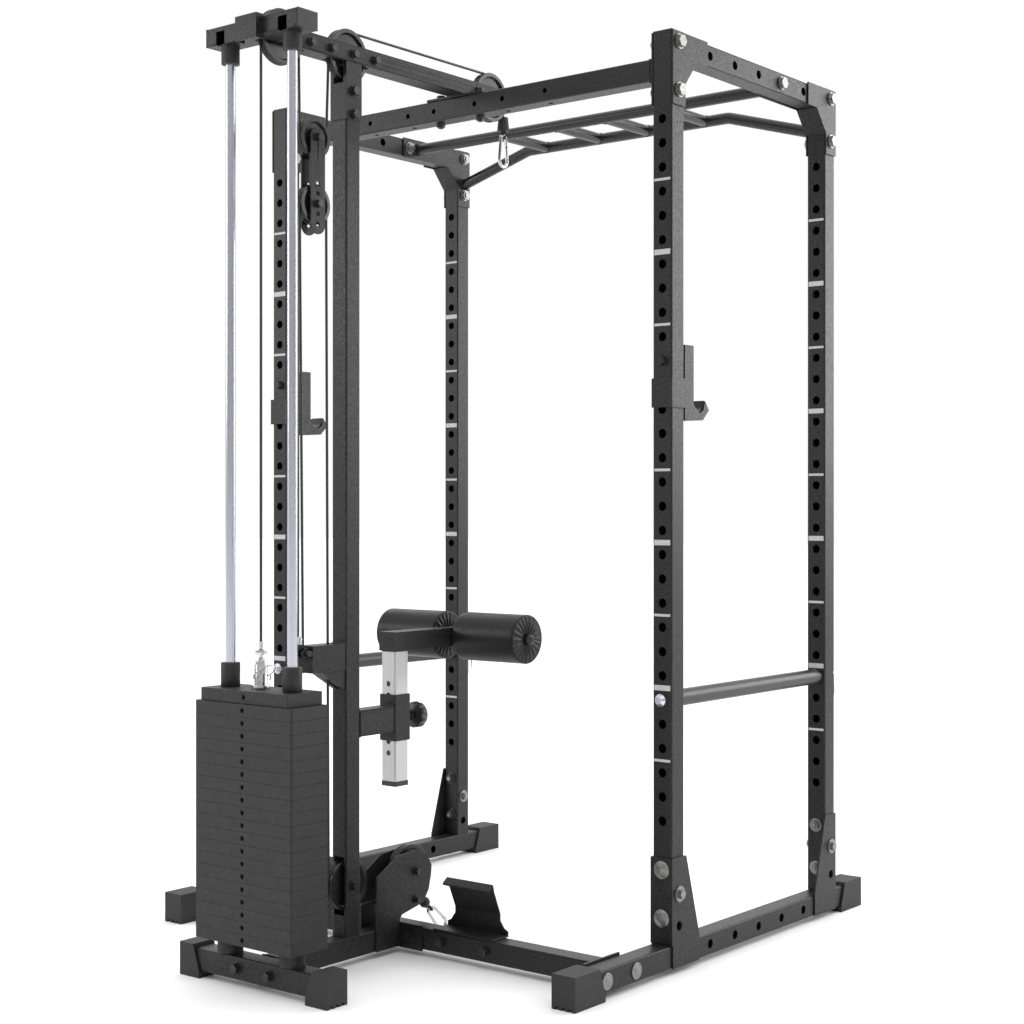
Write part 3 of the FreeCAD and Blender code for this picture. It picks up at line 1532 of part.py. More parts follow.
def end_caps():
    """Plastic caps on the uprights and plugs in the lat beam and the stack head bar."""
    caps = []
    for line in (REAR, FRONT):
        lid = box(
            (POST - HALF, line - HALF, D["post_top"] + 0.2), (POST + HALF, line + HALF, D["post_top"] + 4)
        )
        insert = HALF - WALL - 0.3
        stem = box(
            (POST - insert, line - insert, D["post_top"] - 12), (POST + insert, line + insert, D["post_top"] + 2)
        )
        caps.append(fuse(lid, stem))
    caps += [mirror(item) for item in list(caps)]
    middle = D["lat_beam_deep"] / 2
    inside = D["lat_beam_deep"] / 2 - WALL - 0.3
    deep = D["head_wide"] / 2 - WALL - 0.5
    for side in (-1, 1):
        outer = D["head_half"] * side
        spans = sorted((float(outer + side * 0.2), float(outer + side * 3)))
        lid = box(
            (spans[0], STACK - D["head_wide"] / 2, BEAM_BASE), (spans[1], STACK + D["head_wide"] / 2, BEAM_TOP)
        )
        spans = sorted((float(outer - side * 10), float(outer + side * 2)))
        stem = box(
            (spans[0], STACK - deep, BEAM_BASE + middle - inside),
            (spans[1], STACK + deep, BEAM_BASE + middle + inside),
        )
        caps.append(fuse(lid, stem))
    keep(group(*caps), "end_caps")


def frame_bolts():
    """Zinc-plated bolts of the cage, the ones near the floor with wide washers and domes."""
    post = POST.value
    half = HALF.value
    gauge = PLATE.value
    lines = (REAR.value, FRONT.value)
    bolts = []
    for _, side in SIDES:
        outer = side * (post + half + gauge + 0.1)
        for line in lines:
            for level in GUSSET_BOLT_LEVELS:
                point = (outer, line, level)
                bolts.append(bolt("x", side, point, 2 * (half + gauge) + 0.2, GUSSET_BOLT, 17))
            rear = line < 0
            point = (outer, line, BASE_CROSS_BOLT)
            grip = 2 * half + (2 if rear else 1) * gauge + 0.2
            bolts.append(bolt("x", side, point, grip, BOLT, 18))
            # The heads face the rear on a rear upright and the front on a front one.
            facing = -1 if rear else 1
            clamped = half + (gauge if rear else 0) + 0.1
            for level in BASE_BOLT_LEVELS:
                point = (side * post, line + facing * clamped, level)
                bolts.append(bolt("y", facing, point, clamped + half + 0.1, BOLT, 20, "dome"))
        for step in (-1, 1):
            point = (side * (post + half + 0.1), CROSS.value + step * PITCH.value, BASE.value)
            bolts.append(bolt("x", side, point, 2 * half + FLANGE + 0.8, BOLT, 15, "dome"))
        point = (side * (post + half + 0.1), PULL_BAR_LINE.value, D["top_rail_level"].value)
        bolts.append(bolt("x", side, point, 2 * half + gauge + 0.2, GUSSET_BOLT, 16))
    shape_node("zinc_bolts", bolts)


def tower_bolts():
    """Black bolts of the tower, and the bolts that the fixed pulleys turn on."""
    bolts = []
    tower = TOWER.value
    half = HALF.value + 0.1
    for level in SLEEVE_BOLTS:
        bolts.append(bolt("x", 1, (half, tower, level), 2 * half, BOLT, 12))
    for side in (-1, 1):
        seat = BEAM_BASE.value + 0.1
        bolts.append(
            bolt("z", 1, (side * TOP_BEAM_BOLTS, REAR.value, seat), seat - 1978.9, BOLT, 12)
        )
        face = CROSS.value - HALF.value
        point = (side * TOWER_FLANGE_BOLTS, face - FLANGE - 0.1, BASE.value)
        bolts.append(bolt("y", -1, point, TUBE.value + FLANGE + 0.2, BOLT, 12))
        for across in FOOT_BOLTS:
            point = (side * across, face - 0.1, BASE.value)
            bolts.append(bolt("y", -1, point, TUBE.value + 0.2, BOLT, 12))
        point = (side * FOOT_BOLT, STACK.value - half, BASE.value)
        bolts.append(bolt("y", -1, point, 2 * half, BOLT, 12))
    axle = D["axle_bore"].value
    front = D["front_pulley_line"].value
    for line in (tower, front):
        bolts.append(bolt("x", 1, (half, line, TOP_PULLEY.value), 2 * half, axle, 11))
    retainers = (
        REAR_PULLEY.value + RETAINER_STEP,
        tower - RETAINER_STEP,
        tower + RETAINER_STEP,
        front - RETAINER_STEP,
    )
    for line in retainers:
        bolts.append(bolt("x", 1, (half, line, TOP_PULLEY.value), 2 * half, axle, 11))
    inner = HALF.value - WALL.value - 0.2
    start = Vector(-inner, REAR_PULLEY.value, TOP_PULLEY.value)
    bolts.append(Part.makeCylinder(axle / 2, 2 * inner, start, DIRECTIONS["x"]))
    side = TOWER_HALF.value + 0.1
    bolts.append(bolt("x", 1, (side, tower, LOW_PULLEY.value), 2 * side, axle, 11))
    side = TOWER_HALF.value + PLATE.value + 0.3
    row = D["row_pulley_line"].value
    bolts.append(bolt("x", 1, (side, row, LOW_PULLEY.value), 2 * side, axle, 11))
    bolts.append(bolt("x", 1, (side, row, LOW_PULLEY.value - 67), 2 * side, 8, 10))
    bolts.append(bolt("x", 1, (13.1, ANCHOR_LINE.value, ANCHOR_LEVEL), 26.2, 8, 7.6))
    shape_node("black_bolts", bolts)


def block_bolts():
    """Bolts that the floating block's pulleys turn on."""
    bolts = []
    for level in (D["block_upper"].value, D["block_lower"].value):
        bolts.append(bolt("x", 1, (16.1, BLOCK.value, level), 32.2, D["axle_bore"].value, 9))
    shape_node("block_bolts", bolts)


# ---------------------------------------------------------------- build and write

make_sides()
rear_top_crossbeam()
rear_base_crossmember()
pull_up_bar()
foot_plates()
tower_base()
tower_post()
lat_beam()
rods_and_mounts()
row_pulley_plates()
make_pulleys()
floating_block()
make_cables()
cable_ends()
weight_stack()
j_cup()
safety_bars()
knee_unit()
rubber_feet()
end_caps()
frame_bolts()
tower_bolts()
block_bolts()
doc.recompute()

for item in doc.Objects:
    if any(word in ("Invalid", "Error") for word in item.State):
        owner = item.getParentGeoFeatureGroup()
        raise RuntimeError(f"{item.Label} of {owner.Label if owner else doc.Label}: {item.State}")
os.makedirs("parts", exist_ok=True)
for item in parts:
    shape = item.Shape
    if shape.isNull() or not shape.isValid() or not shape.Solids:
        raise RuntimeError(f"{item.Label} has no valid solid")
    shape.exportStep(f"parts/{item.Label}.step")
    box_of = shape.BoundBox
    print(f"{item.Label}: {len(shape.Solids)} solids, {box_of.XLength:.0f} x {box_of.YLength:.0f} x {box_of.ZLength:.0f}")
print(f"{len(parts)} sub-parts")
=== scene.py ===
"""Looks of the power cage: materials, foam rollers, cable strands and trim around the CAD frame."""

import json
import math

import bmesh
import bpy
from mathutils import Matrix, Vector


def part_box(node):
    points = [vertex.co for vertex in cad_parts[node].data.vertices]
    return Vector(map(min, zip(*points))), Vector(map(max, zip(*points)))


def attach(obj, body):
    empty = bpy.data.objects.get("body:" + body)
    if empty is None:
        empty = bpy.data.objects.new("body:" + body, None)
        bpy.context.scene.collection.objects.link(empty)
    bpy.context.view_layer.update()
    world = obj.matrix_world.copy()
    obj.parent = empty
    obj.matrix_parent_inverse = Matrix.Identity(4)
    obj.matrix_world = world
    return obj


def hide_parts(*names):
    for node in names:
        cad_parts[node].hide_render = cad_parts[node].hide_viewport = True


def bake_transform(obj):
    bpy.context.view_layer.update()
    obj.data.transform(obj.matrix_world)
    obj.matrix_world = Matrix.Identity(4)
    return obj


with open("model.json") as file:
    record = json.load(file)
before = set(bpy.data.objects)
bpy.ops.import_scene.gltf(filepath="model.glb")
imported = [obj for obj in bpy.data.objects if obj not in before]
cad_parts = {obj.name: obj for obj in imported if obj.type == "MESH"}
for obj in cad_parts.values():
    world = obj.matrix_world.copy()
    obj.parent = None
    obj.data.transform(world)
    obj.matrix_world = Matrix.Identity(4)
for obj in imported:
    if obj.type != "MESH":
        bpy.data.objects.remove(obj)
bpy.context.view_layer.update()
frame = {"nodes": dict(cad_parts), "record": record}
record = frame["record"]
nodes = frame["nodes"]
joint_of = {joint["name"]: joint for joint in record["behaviour"]["joints"]}
mount_of = {mount["name"]: mount for mount in record["mounts"]}
scene = bpy.context.scene


# ---------------------------------------------------------------- materials


class Graph:
    """A Principled material and the few node helpers that all the materials here share."""

    def __init__(self, name, **sockets):
        self.material = bpy.data.materials.new(name)
        self.material.use_nodes = True
        self.tree = self.material.node_tree
        self.shader = self.tree.nodes["Principled BSDF"]
        self.place = self.tree.nodes.new("ShaderNodeTexCoord")
        for socket, value in sockets.items():
            self.shader.inputs[socket.replace("_", " ")].default_value = value

    def link(self, source, target):
        self.tree.links.new(source, target)

    def stretched(self, stretch):
        """Object coordinates, in metres, multiplied along each axis."""
        mapping = self.tree.nodes.new("ShaderNodeMapping")
        mapping.inputs["Scale"].default_value = stretch
        self.link(self.place.outputs["Object"], mapping.inputs["Vector"])
        return mapping.outputs["Vector"]

    def noise(self, grain, detail=3, stretch=(1, 1, 1)):
        """Noise whose features are about grain metres across."""
        node = self.tree.nodes.new("ShaderNodeTexNoise")
        node.inputs["Scale"].default_value = 1 / grain
        node.inputs["Detail"].default_value = detail
        self.link(self.stretched(stretch), node.inputs["Vector"])
        return node.outputs["Fac"]

    def cells(self, grain):
        """Crystals about grain metres across."""
        node = self.tree.nodes.new("ShaderNodeTexVoronoi")
        node.inputs["Scale"].default_value = 1 / grain
        self.link(self.stretched((1, 1, 1)), node.inputs["Vector"])
        return node.outputs["Distance"]

    def ramp(self, source, stops):
        """Colour or grey from a 0 to 1 source: two stops, each (position, grey or colour)."""
        node = self.tree.nodes.new("ShaderNodeValToRGB")
        for index, (position, value) in enumerate(stops):
            element = node.color_ramp.elements[index]
            element.position = position
            level = isinstance(value, (int, float))
            element.color = (value, value, value, 1) if level else (*value, 1)
        self.link(source, node.inputs["Fac"])
        return node.outputs["Color"]

    def multiplied(self, first, second, amount):
        """The first colour, multiplied by the second to the given amount."""
        node = self.tree.nodes.new("ShaderNodeMix")
        node.data_type = "RGBA"
        node.blend_type = "MULTIPLY"
        node.inputs[0].default_value = amount
        self.link(first, node.inputs[6])
        self.link(second, node.inputs[7])
        return node.outputs[2]

    def colour(self, source):
        self.link(source, self.shader.inputs["Base Color"])

    def rough(self, source):
        self.link(source, self.shader.inputs["Roughness"])

    def bumps(self, *layers):
        """Bump layers, each (height source, depth in metres), stacked on one normal."""
        normal = None
        for source, depth in layers:
            node = self.tree.nodes.new("ShaderNodeBump")
            node.inputs["Distance"].default_value = depth
            node.inputs["Strength"].default_value = 1
            self.link(source, node.inputs["Height"])
            if normal is not None:
                self.link(normal, node.inputs["Normal"])
            normal = node.outputs["Normal"]
        self.link(normal, self.shader.inputs["Normal"])


def grey(level, tint=(1, 1, 1)):
    """A grey of the given level, as a colour."""
    return tuple(level * part for part in tint)


def powder_coat():
    """Charcoal coat with the orange-peel grain and speckle of textured powder."""
    g = Graph("powder_coat", Roughness=0.42, Specular_IOR_Level=0.3)
    speckle = g.noise(0.0048, 4)
    patches = g.noise(0.09, 2)
    base = g.ramp(speckle, ((0.38, grey(0.006)), (0.64, grey(0.021))))
    g.colour(g.multiplied(base, g.ramp(patches, ((0.3, 0.8), (0.7, 1.0))), 0.5))
    g.rough(g.ramp(g.noise(0.005, 2), ((0.3, 0.36), (0.7, 0.5))))
    g.bumps((g.noise(0.0014, 2), 0.00016), (g.noise(0.0052, 3), 0.0003))
    return g.material


def bar_coat():
    """The smoother, glossier black of the pull-up bars."""
    g = Graph("bar_coat", Roughness=0.3, Specular_IOR_Level=0.4)
    g.colour(g.ramp(g.noise(0.005, 3), ((0.35, grey(0.004)), (0.65, grey(0.011)))))
    g.rough(g.ramp(g.noise(0.006, 2), ((0.3, 0.26), (0.7, 0.38))))
    g.bumps((g.noise(0.0024, 2), 0.00006))
    return g.material


def polished_steel():
    """Hard chromed rod: bright, with faint drawing marks along its length."""
    g = Graph("polished_steel", Metallic=1.0, Roughness=0.2)
    lines = g.noise(0.0016, 3, (1, 1, 0.003))
    g.colour(g.ramp(lines, ((0.3, (0.54, 0.55, 0.61)), (0.7, (0.60, 0.61, 0.68)))))
    g.rough(g.ramp(lines, ((0.3, 0.24), (0.7, 0.28))))
    return g.material


def zinc_steel():
    """Zinc plate: a dull grey with small crystals and rubbed high spots."""
    g = Graph("zinc_steel", Metallic=0.9, Roughness=0.4)
    g.colour(g.ramp(g.cells(0.0035), ((0.1, grey(0.17)), (0.8, grey(0.27, (1, 1, 0.98))))))
    g.rough(g.ramp(g.noise(0.004, 3), ((0.3, 0.3), (0.7, 0.5))))
    g.bumps((g.noise(0.0015, 3), 0.00005))
    return g.material


def brushed_steel():
    """Bare sliding post: bright satin steel, brushed along its length."""
    g = Graph("brushed_steel", Metallic=0.6, Roughness=0.4)
    lines = g.noise(0.0022, 3, (1, 1, 0.012))
    g.colour(g.ramp(lines, ((0.3, grey(0.47)), (0.7, grey(0.56)))))
    g.rough(g.ramp(lines, ((0.3, 0.34), (0.7, 0.48))))
    g.bumps((lines, 0.00002))
    return g.material


def tube_inside():
    """Near-black dull lining of the uprights' inner walls: painted shade for the dark inside the tubes,
    which no light reaches.
    """
    g = Graph("tube_inside", Roughness=0.9, Specular_IOR_Level=0.05)
    g.colour(g.ramp(g.noise(0.008, 2), ((0.3, grey(0.0015)), (0.7, grey(0.003)))))
    return g.material


def black_steel():
    """Black oxide bolts, a little oily and worn brighter in patches."""
    g = Graph("black_steel", Metallic=0.35, Roughness=0.36)
    g.colour(g.ramp(g.noise(0.005, 4), ((0.35, grey(0.012)), (0.7, grey(0.04)))))
    g.rough(g.ramp(g.noise(0.003, 3), ((0.3, 0.26), (0.7, 0.46))))
    g.bumps((g.noise(0.0012, 3), 0.00004))
    return g.material


def chrome_wire():
    """Plated wire with a light drawn grain."""
    g = Graph("chrome_wire", Metallic=1.0, Roughness=0.18)
    g.colour(g.ramp(g.noise(0.004, 2), ((0.3, grey(0.45)), (0.7, grey(0.62)))))
    g.rough(g.ramp(g.noise(0.002, 3), ((0.3, 0.12), (0.7, 0.26))))
    return g.material


def stack_iron():
    """Painted cast plates: even satin black, slightly pebbled."""
    g = Graph("stack_iron", Roughness=0.5, Specular_IOR_Level=0.32)
    pebbles = g.noise(0.004, 4)
    g.colour(g.ramp(pebbles, ((0.3, grey(0.014)), (0.72, grey(0.027)))))
    g.rough(g.ramp(g.noise(0.012, 3), ((0.3, 0.44), (0.7, 0.58))))
    g.bumps((g.noise(0.0016, 2), 0.00012), (g.noise(0.02, 2), 0.0002))
    return g.material


def moulded(name, level, low, high, grain, depth):
    """Moulded black plastic or rubber with a spark-eroded grain."""
    g = Graph(name, Roughness=(low + high) / 2)
    g.colour(g.ramp(g.noise(0.006, 3), ((0.3, grey(level * 0.75)), (0.7, grey(level * 1.25)))))
    g.rough(g.ramp(g.noise(0.004, 3), ((0.3, low), (0.7, high))))
    g.bumps((g.noise(grain, 2), depth))
    return g.material


def foam_skin():
    """Foam under a smooth vinyl skin: a soft gloss, faint pores and shallow dimples."""
    g = Graph("black_foam", Roughness=0.4, Specular_IOR_Level=0.2)
    g.colour(g.ramp(g.noise(0.004, 3), ((0.3, grey(0.007)), (0.7, grey(0.014)))))
    g.rough(g.ramp(g.noise(0.012, 3), ((0.3, 0.34), (0.7, 0.44))))
    g.bumps((g.noise(0.0022, 2), 0.00005), (g.noise(0.03, 2), 0.0003))
    return g.material


def mark_paint():
    """Pad-printed light grey marks, thin enough to let the coat's grain through."""
    g = Graph("mark_paint", Roughness=0.6)
    g.colour(g.ramp(g.noise(0.0016, 4), ((0.28, grey(0.30)), (0.42, grey(0.47)))))
    g.bumps((g.noise(0.0014, 2), 0.0001))
    return g.material


MATERIALS = {
    "powder_coat": powder_coat(),
    "polished_steel": polished_steel(),
    "zinc_steel": zinc_steel(),
    "black_steel": black_steel(),
    "chrome_wire": chrome_wire(),
    "stack_iron": stack_iron(),
    "pulley_plastic": moulded("pulley_plastic", 0.008, 0.26, 0.34, 0.003, 0.00001),
    "black_plastic": moulded("black_plastic", 0.011, 0.36, 0.5, 0.0014, 0.00008),
    "black_rubber": moulded("black_rubber", 0.013, 0.55, 0.72, 0.002, 0.00016),
    "black_foam": foam_skin(),
    "cable_coat": moulded("cable_coat", 0.014, 0.3, 0.42, 0.002, 0.00004),
    "mark_paint": mark_paint(),
    "brushed_steel": brushed_steel(),
    # painted shade: the near-black lining inside the uprights
    "tube_inside": tube_inside(),
    "bar_coat": bar_coat(),
}


# ---------------------------------------------------------------- mesh helpers


def finish_piece(name, mesh, slot, body, node=None, paint=None, smooth=None):
    """Put a mesh in the scene, with its material, its body and the CAD nodes it stands for."""
    bm = bmesh.new()
    bm.from_mesh(mesh)
    bmesh.ops.recalc_face_normals(bm, faces=bm.faces)
    bm.to_mesh(mesh)
    bm.free()
    piece = bpy.data.objects.new(name, mesh)
    scene.collection.objects.link(piece)
    mesh.materials.append(MATERIALS[paint or slot])
    if smooth is not None:
        mesh.set_sharp_from_angle(angle=math.radians(smooth))
        for face in mesh.polygons:
            face.use_smooth = True
    if node:
        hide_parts(node)
    if body:
        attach(piece, body)
    return piece


def mesh_of(name, points, faces):
    """A mesh from points and faces."""
    mesh = bpy.data.meshes.new(name)
    mesh.from_pydata([tuple(point) for point in points], [], faces)
    mesh.update()
    return mesh


def joined(name, meshes):
    """One mesh from several."""
    bm = bmesh.new()
    for mesh in meshes:
        bm.from_mesh(mesh)
    whole = bpy.data.meshes.new(name)
    bm.to_mesh(whole)
    bm.free()
    return whole


def tube_mesh(name, path, radius, sides=16, closed=False, radius_at=None):
    """A round tube along a path of points, with capped ends unless the path is closed."""
    points = []
    faces = []
    count = len(path)
    normal = None
    for index, point in enumerate(path):
        before = path[index - 1] if closed or index else path[0]
        after = path[(index + 1) % count] if closed or index + 1 < count else path[-1]
        along = (after - before).normalized()
        if normal is None:
            guess = Vector((1, 0, 0)) if abs(along.x) < 0.9 else Vector((0, 1, 0))
            normal = along.cross(guess).normalized()
        normal = (normal - along * normal.dot(along)).normalized()
        across = along.cross(normal)
        size = radius_at(index / (count - 1)) if radius_at else radius
        for side in range(sides):
            angle = 2 * math.pi * side / sides
            points.append(point + (normal * math.cos(angle) + across * math.sin(angle)) * size)
    rings = count if closed else count - 1
    for ring in range(rings):
        here = ring * sides
        there = ((ring + 1) % count) * sides
        for side in range(sides):
            step = (side + 1) % sides
            faces.append((here + side, here + step, there + step, there + side))
    if not closed:
        faces.append(tuple(reversed(range(sides))))
        faces.append(tuple(range((count - 1) * sides, count * sides)))
    return mesh_of(name, points, faces)


def lathe(name, axis_start, axis_end, profile, sides=32):
    """A turned piece: profile is (share of the axis, radius), from start to end."""
    start = Vector(axis_start)
    end = Vector(axis_end)
    along = (end - start).normalized()
    guess = Vector((1, 0, 0)) if abs(along.x) < 0.9 else Vector((0, 1, 0))
    u = along.cross(guess).normalized()
    v = along.cross(u)
    points = []
    for share, radius in profile:
        for side in range(sides):
            angle = 2 * math.pi * side / sides
            points.append(start.lerp(end, share) + (u * math.cos(angle) + v * math.sin(angle)) * radius)
    faces = []
    for ring in range(len(profile) - 1):
        for side in range(sides):
            step = (side + 1) % sides
            here, there = ring * sides, (ring + 1) * sides
            faces.append((here + side, here + step, there + step, there + side))
    faces.append(tuple(reversed(range(sides))))
    last = (len(profile) - 1) * sides
    faces.append(tuple(range(last, last + sides)))
    return mesh_of(name, points, faces)


def rounded_slab(name, low, high, radius):
    """A box with its four corners rounded in the X-Z plane."""
    points = []
    steps = 4  # per quarter turn
    centres = (
        (high.x - radius, high.z - radius, 0),
        (low.x + radius, high.z - radius, 90),
        (low.x + radius, low.z + radius, 180),
        (high.x - radius, low.z + radius, 270),
    )
    for x, z, start in centres:
        for step in range(steps + 1):
            angle = math.radians(start + 90 * step / steps)
            points.append((x + radius * math.cos(angle), z + radius * math.sin(angle)))
    count = len(points)
    whole = [Vector((x, low.y, z)) for x, z in points] + [Vector((x, high.y, z)) for x, z in points]
    faces = [tuple(range(count)), tuple(reversed(range(count, 2 * count)))]
    for index in range(count):
        step = (index + 1) % count
        faces.append((index, index + count, step + count, step))
    return mesh_of(name, whole, faces)


def ring_path(centre, radius, tilt, steps=48):
    """A circle of points, laid flat and then tilted by a rotation."""
    turn = tilt.to_matrix()
    path = []
    for step in range(steps):
        angle = 2 * math.pi * step / steps
        flat = Vector((radius * math.cos(angle), radius * math.sin(angle), 0))
        path.append(Vector(centre) + turn @ flat)
    return path


def plain_box(name, low, high):
    """A box between two corners."""
    points = [(x, y, z) for z in (low[2], high[2]) for y in (low[1], high[1]) for x in (low[0], high[0])]
    faces = [(0, 2, 3, 1), (4, 5, 7, 6), (0, 1, 5, 4), (2, 6, 7, 3), (0, 4, 6, 2), (1, 3, 7, 5)]
    return mesh_of(name, points, faces)


# ---------------------------------------------------------------- carried-over CAD nodes

# Width of the softened edges, in metres.
BEVELS = {
    "lat_beam": 0.0012,
    "head_plate": 0.002,
    "weight_plates_picked": 0.0006,
    "weight_plates_resting": 0.0006,
    "corner_gussets": 0.0008,
    "base_gusset_plates": 0.0008,
    "row_pulley_plates": 0.0008,
    "block_plates": 0.0008,
    "foot_plates": 0.0008,
    "rubber_feet": 0.002,
    "end_caps": 0.001,
    "zinc_bolts": 0.0007,
    "black_bolts": 0.0006,
    "block_bolts": 0.0006,
    "knee_roller_holder": 0.0012,
    "knee_roller_arm": 0.0014,
    "knee_lock_knob": 0.0012,
    "knee_post_plug": 0.001,
    "j_cup_left": 0.0008,
    "j_cup_right": 0.0008,
    "selector_stem": 0.0006,
    "selector_pin": 0.0008,
    "rear_base_crossmember": 0.001,
    "rear_top_crossbeam": 0.001,
    "tower_base": 0.001,
    "tower_post": 0.001,
}

# Nodes whose finish differs from the rest of their material slot.
LOOKS = {"knee_post": "brushed_steel", "pull_up_bar": "bar_coat", "selector_stem": "chrome_wire"}


def dress_nodes():
    """Give every CAD node its material, and soften the sharp edges of the ones that show them."""
    for part in record["subparts"]:
        node = nodes[part["node"]]
        node.data.materials.clear()
        look = LOOKS.get(part["node"], part["material_slot"])
        node.data.materials.append(MATERIALS[look])
        width = BEVELS.get(part["node"])
        if width:
            weld = node.modifiers.new("weld", "WELD")
            weld.merge_threshold = 0.00002
            bevel = node.modifiers.new("bevel", "BEVEL")
            bevel.width = width
            bevel.segments = 2
            bevel.limit_method = "ANGLE"
            bevel.angle_limit = math.radians(50)
            bevel.harden_normals = True


# ---------------------------------------------------------------- marks on the uprights


HOLES_PER_UPRIGHT = 30
MARKS_PER_UPRIGHT = 9
MARK_HALF_WIDTH = 0.0212
THIN_MARK_HALF = 0.0029
THICK_MARK_HALF = 0.006
PAINT_RISE = 0.00012
PAINT_DEPTH = 0.0004


def depth_marks():
    """Printed bars on the tower side of each upright, between every third pair of holes."""
    high = mount_of["post_hole_right_high"]["pos_m"][2]
    low = mount_of["post_hole_right_low"]["pos_m"][2]
    pitch = (high - low) / (HOLES_PER_UPRIGHT - 1)
    strips = []
    for line in ("rear", "front"):
        for side in ("left", "right"):
            bottom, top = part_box(f"upright_{line}_{side}")
            middle = (bottom[0] + top[0]) / 2
            for step in range(MARKS_PER_UPRIGHT):
                level = high - pitch * (2.5 + 3 * step)
                half = THIN_MARK_HALF if step % 2 == 0 else THICK_MARK_HALF
                strips.append(
                    rounded_slab(
                        "mark",
                        Vector((middle - MARK_HALF_WIDTH, bottom[1] - PAINT_RISE, level - half)),
                        Vector((middle + MARK_HALF_WIDTH, bottom[1] + PAINT_DEPTH, level + half)),
                        0.0008,
                    )
                )
    finish_piece("depth_marks", joined("depth_marks", strips), "powder_coat", "frame", paint="mark_paint")


# ---------------------------------------------------------------- uprights, bolts and trim


WALL = 0.0025
# Thickness, clearance and reach of the sheets of painted shade inside the uprights.
SKIN = 0.0003
SKIN_CLEARANCE = 0.0004
SKIN_BOTTOM = 0.3
SKIN_BELOW_TOP = 0.15


def tube_insides():
    """Thin near-black sheets of painted shade on the inner walls beside the rows of holes, so that the holes
    look into the dark.
    """
    shade_sheets = []
    for line in ("rear", "front"):
        for side in ("left", "right"):
            low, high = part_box(f"upright_{line}_{side}")
            for sign in (-1, 1):
                inner = (low[0] + high[0]) / 2 + sign * ((high[0] - low[0]) / 2 - WALL - SKIN)
                across = sorted((inner, inner - sign * SKIN))
                shade_sheets.append(
                    plain_box(
                        "skin",
                        (across[0], low[1] + WALL + SKIN_CLEARANCE, SKIN_BOTTOM),
                        (across[1], high[1] - WALL - SKIN_CLEARANCE, high[2] - SKIN_BELOW_TOP),
                    )
                )
    finish_piece("tube_insides", joined("tube_insides", shade_sheets), "powder_coat", "frame", paint="tube_inside")


BASE_BOLT_LEVELS = (0.2309, 0.1237)
# (share of the height, radius): washer, then nut, then the opening for the bolt's end
NUT_COVER = (
    (0, 0.0182),
    (0.2, 0.0182),
    (0.26, 0.0174),
    (0.27, 0.0128),
    (0.9, 0.0126),
    (1, 0.0112),
    (1, 0.0061),
)
NUT_COVER_FOOT = 0.0001
NUT_COVER_TOP = 0.0112


def black_nut_covers():
    """Black washers and nut covers on the tower side of the left front upright's base bolts."""
    low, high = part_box("upright_front_left")
    middle = (low[0] + high[0]) / 2
    covers = []
    for level in BASE_BOLT_LEVELS:
        foot = (middle, low[1] - NUT_COVER_FOOT, level)
        top = (middle, low[1] - NUT_COVER_TOP, level)
        covers.append(lathe("cover", foot, top, NUT_COVER))
    finish_piece("nut_covers", joined("nut_covers", covers), "black_steel", "frame", smooth=40)


WASHER_GAUGE = 0.0025
WASHER_LIFT = 0.0002
WASHER_EDGE = 0.0006
WASHER_HOLE = 0.008
TUBE_HALF = 0.025
BASE_TUBE_MIDDLE = 0.04
# Distance from the middle of the cage to the faces that the washers lie on.
RAIL_OUTSIDE = 0.6321
TOP_INSIDE = 0.5779
UPRIGHT_INSIDE = 0.5819
CROSSMEMBER_BOLT_STEP = 0.0536
RAIL_BOLT_LINE = 0.3846
BASE_BOLT_LEVEL = 0.1773
GUSSET_BOLTS = (0.0055, -0.1017)  # above the middle of the top rails


def wide_washers():
    """Washers under the nuts inside the cage and under the bolts of the rear crossmember."""
    washers = []

    def washer(face, sign, line, level, radius):
        profile = [(0, radius), (0.8, radius), (1, radius - WASHER_EDGE), (1, WASHER_HOLE), (0, WASHER_HOLE)]
        top = (face + sign * (WASHER_GAUGE + WASHER_LIFT), line, level)
        washers.append(lathe("washer", (face, line, level), top, profile, 40))

    crossmember_low, crossmember_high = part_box("rear_base_crossmember")
    upright_low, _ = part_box("upright_front_left")
    front = upright_low[1] + TUBE_HALF
    rail_level = mount_of["top_rail_hole"]["pos_m"][2]
    middle = (crossmember_low[1] + crossmember_high[1]) / 2
    for side in (-1, 1):
        for step in (-CROSSMEMBER_BOLT_STEP, CROSSMEMBER_BOLT_STEP):
            washer(side * RAIL_OUTSIDE, side, middle + step, BASE_TUBE_MIDDLE, 0.018)
        washer(side * TOP_INSIDE, -side, RAIL_BOLT_LINE, rail_level, 0.017)
        washer(side * UPRIGHT_INSIDE, -side, front, BASE_BOLT_LEVEL, 0.0175)
        for rise in GUSSET_BOLTS:
            washer(side * TOP_INSIDE, -side, front, rail_level + rise, 0.0162)
    finish_piece("wide_washers", joined("wide_washers", washers), "zinc_steel", "frame", smooth=40)


CAP_RADIUS = 0.0128
CAP_HEIGHT = 0.0125
CAP_COLLAR = 0.25  # share of the height that is straight


def axle_caps():
    """Glossy domed nuts on the ends of the knee rollers' axle."""
    profile = [(0, CAP_RADIUS)]
    for step in range(9):
        angle = math.radians(10 * step)
        profile.append((CAP_COLLAR + (1 - CAP_COLLAR) * math.sin(angle), CAP_RADIUS * math.cos(angle)))
    caps = []
    for side, sign in (("left", -1), ("right", 1)):
        low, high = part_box(f"knee_roller_{side}")
        end = high[0] if sign > 0 else low[0]
        start = (end + sign * 0.0002, (low[1] + high[1]) / 2, (low[2] + high[2]) / 2)
        tip = (end + sign * CAP_HEIGHT, start[1], start[2])
        caps.append(lathe("cap", start, tip, profile))
    finish_piece("axle_caps", joined("axle_caps", caps), "black_steel", "knee_post", smooth=50)


LOOP_REACH = 0.014
LOOP_BELOW_TOP = 0.010
LOOP_ABOVE_BOTTOM = 0.020
LOOP_ROOT = 0.008
LOOP_BEND = 0.008
LOOP_WIRE = 0.002


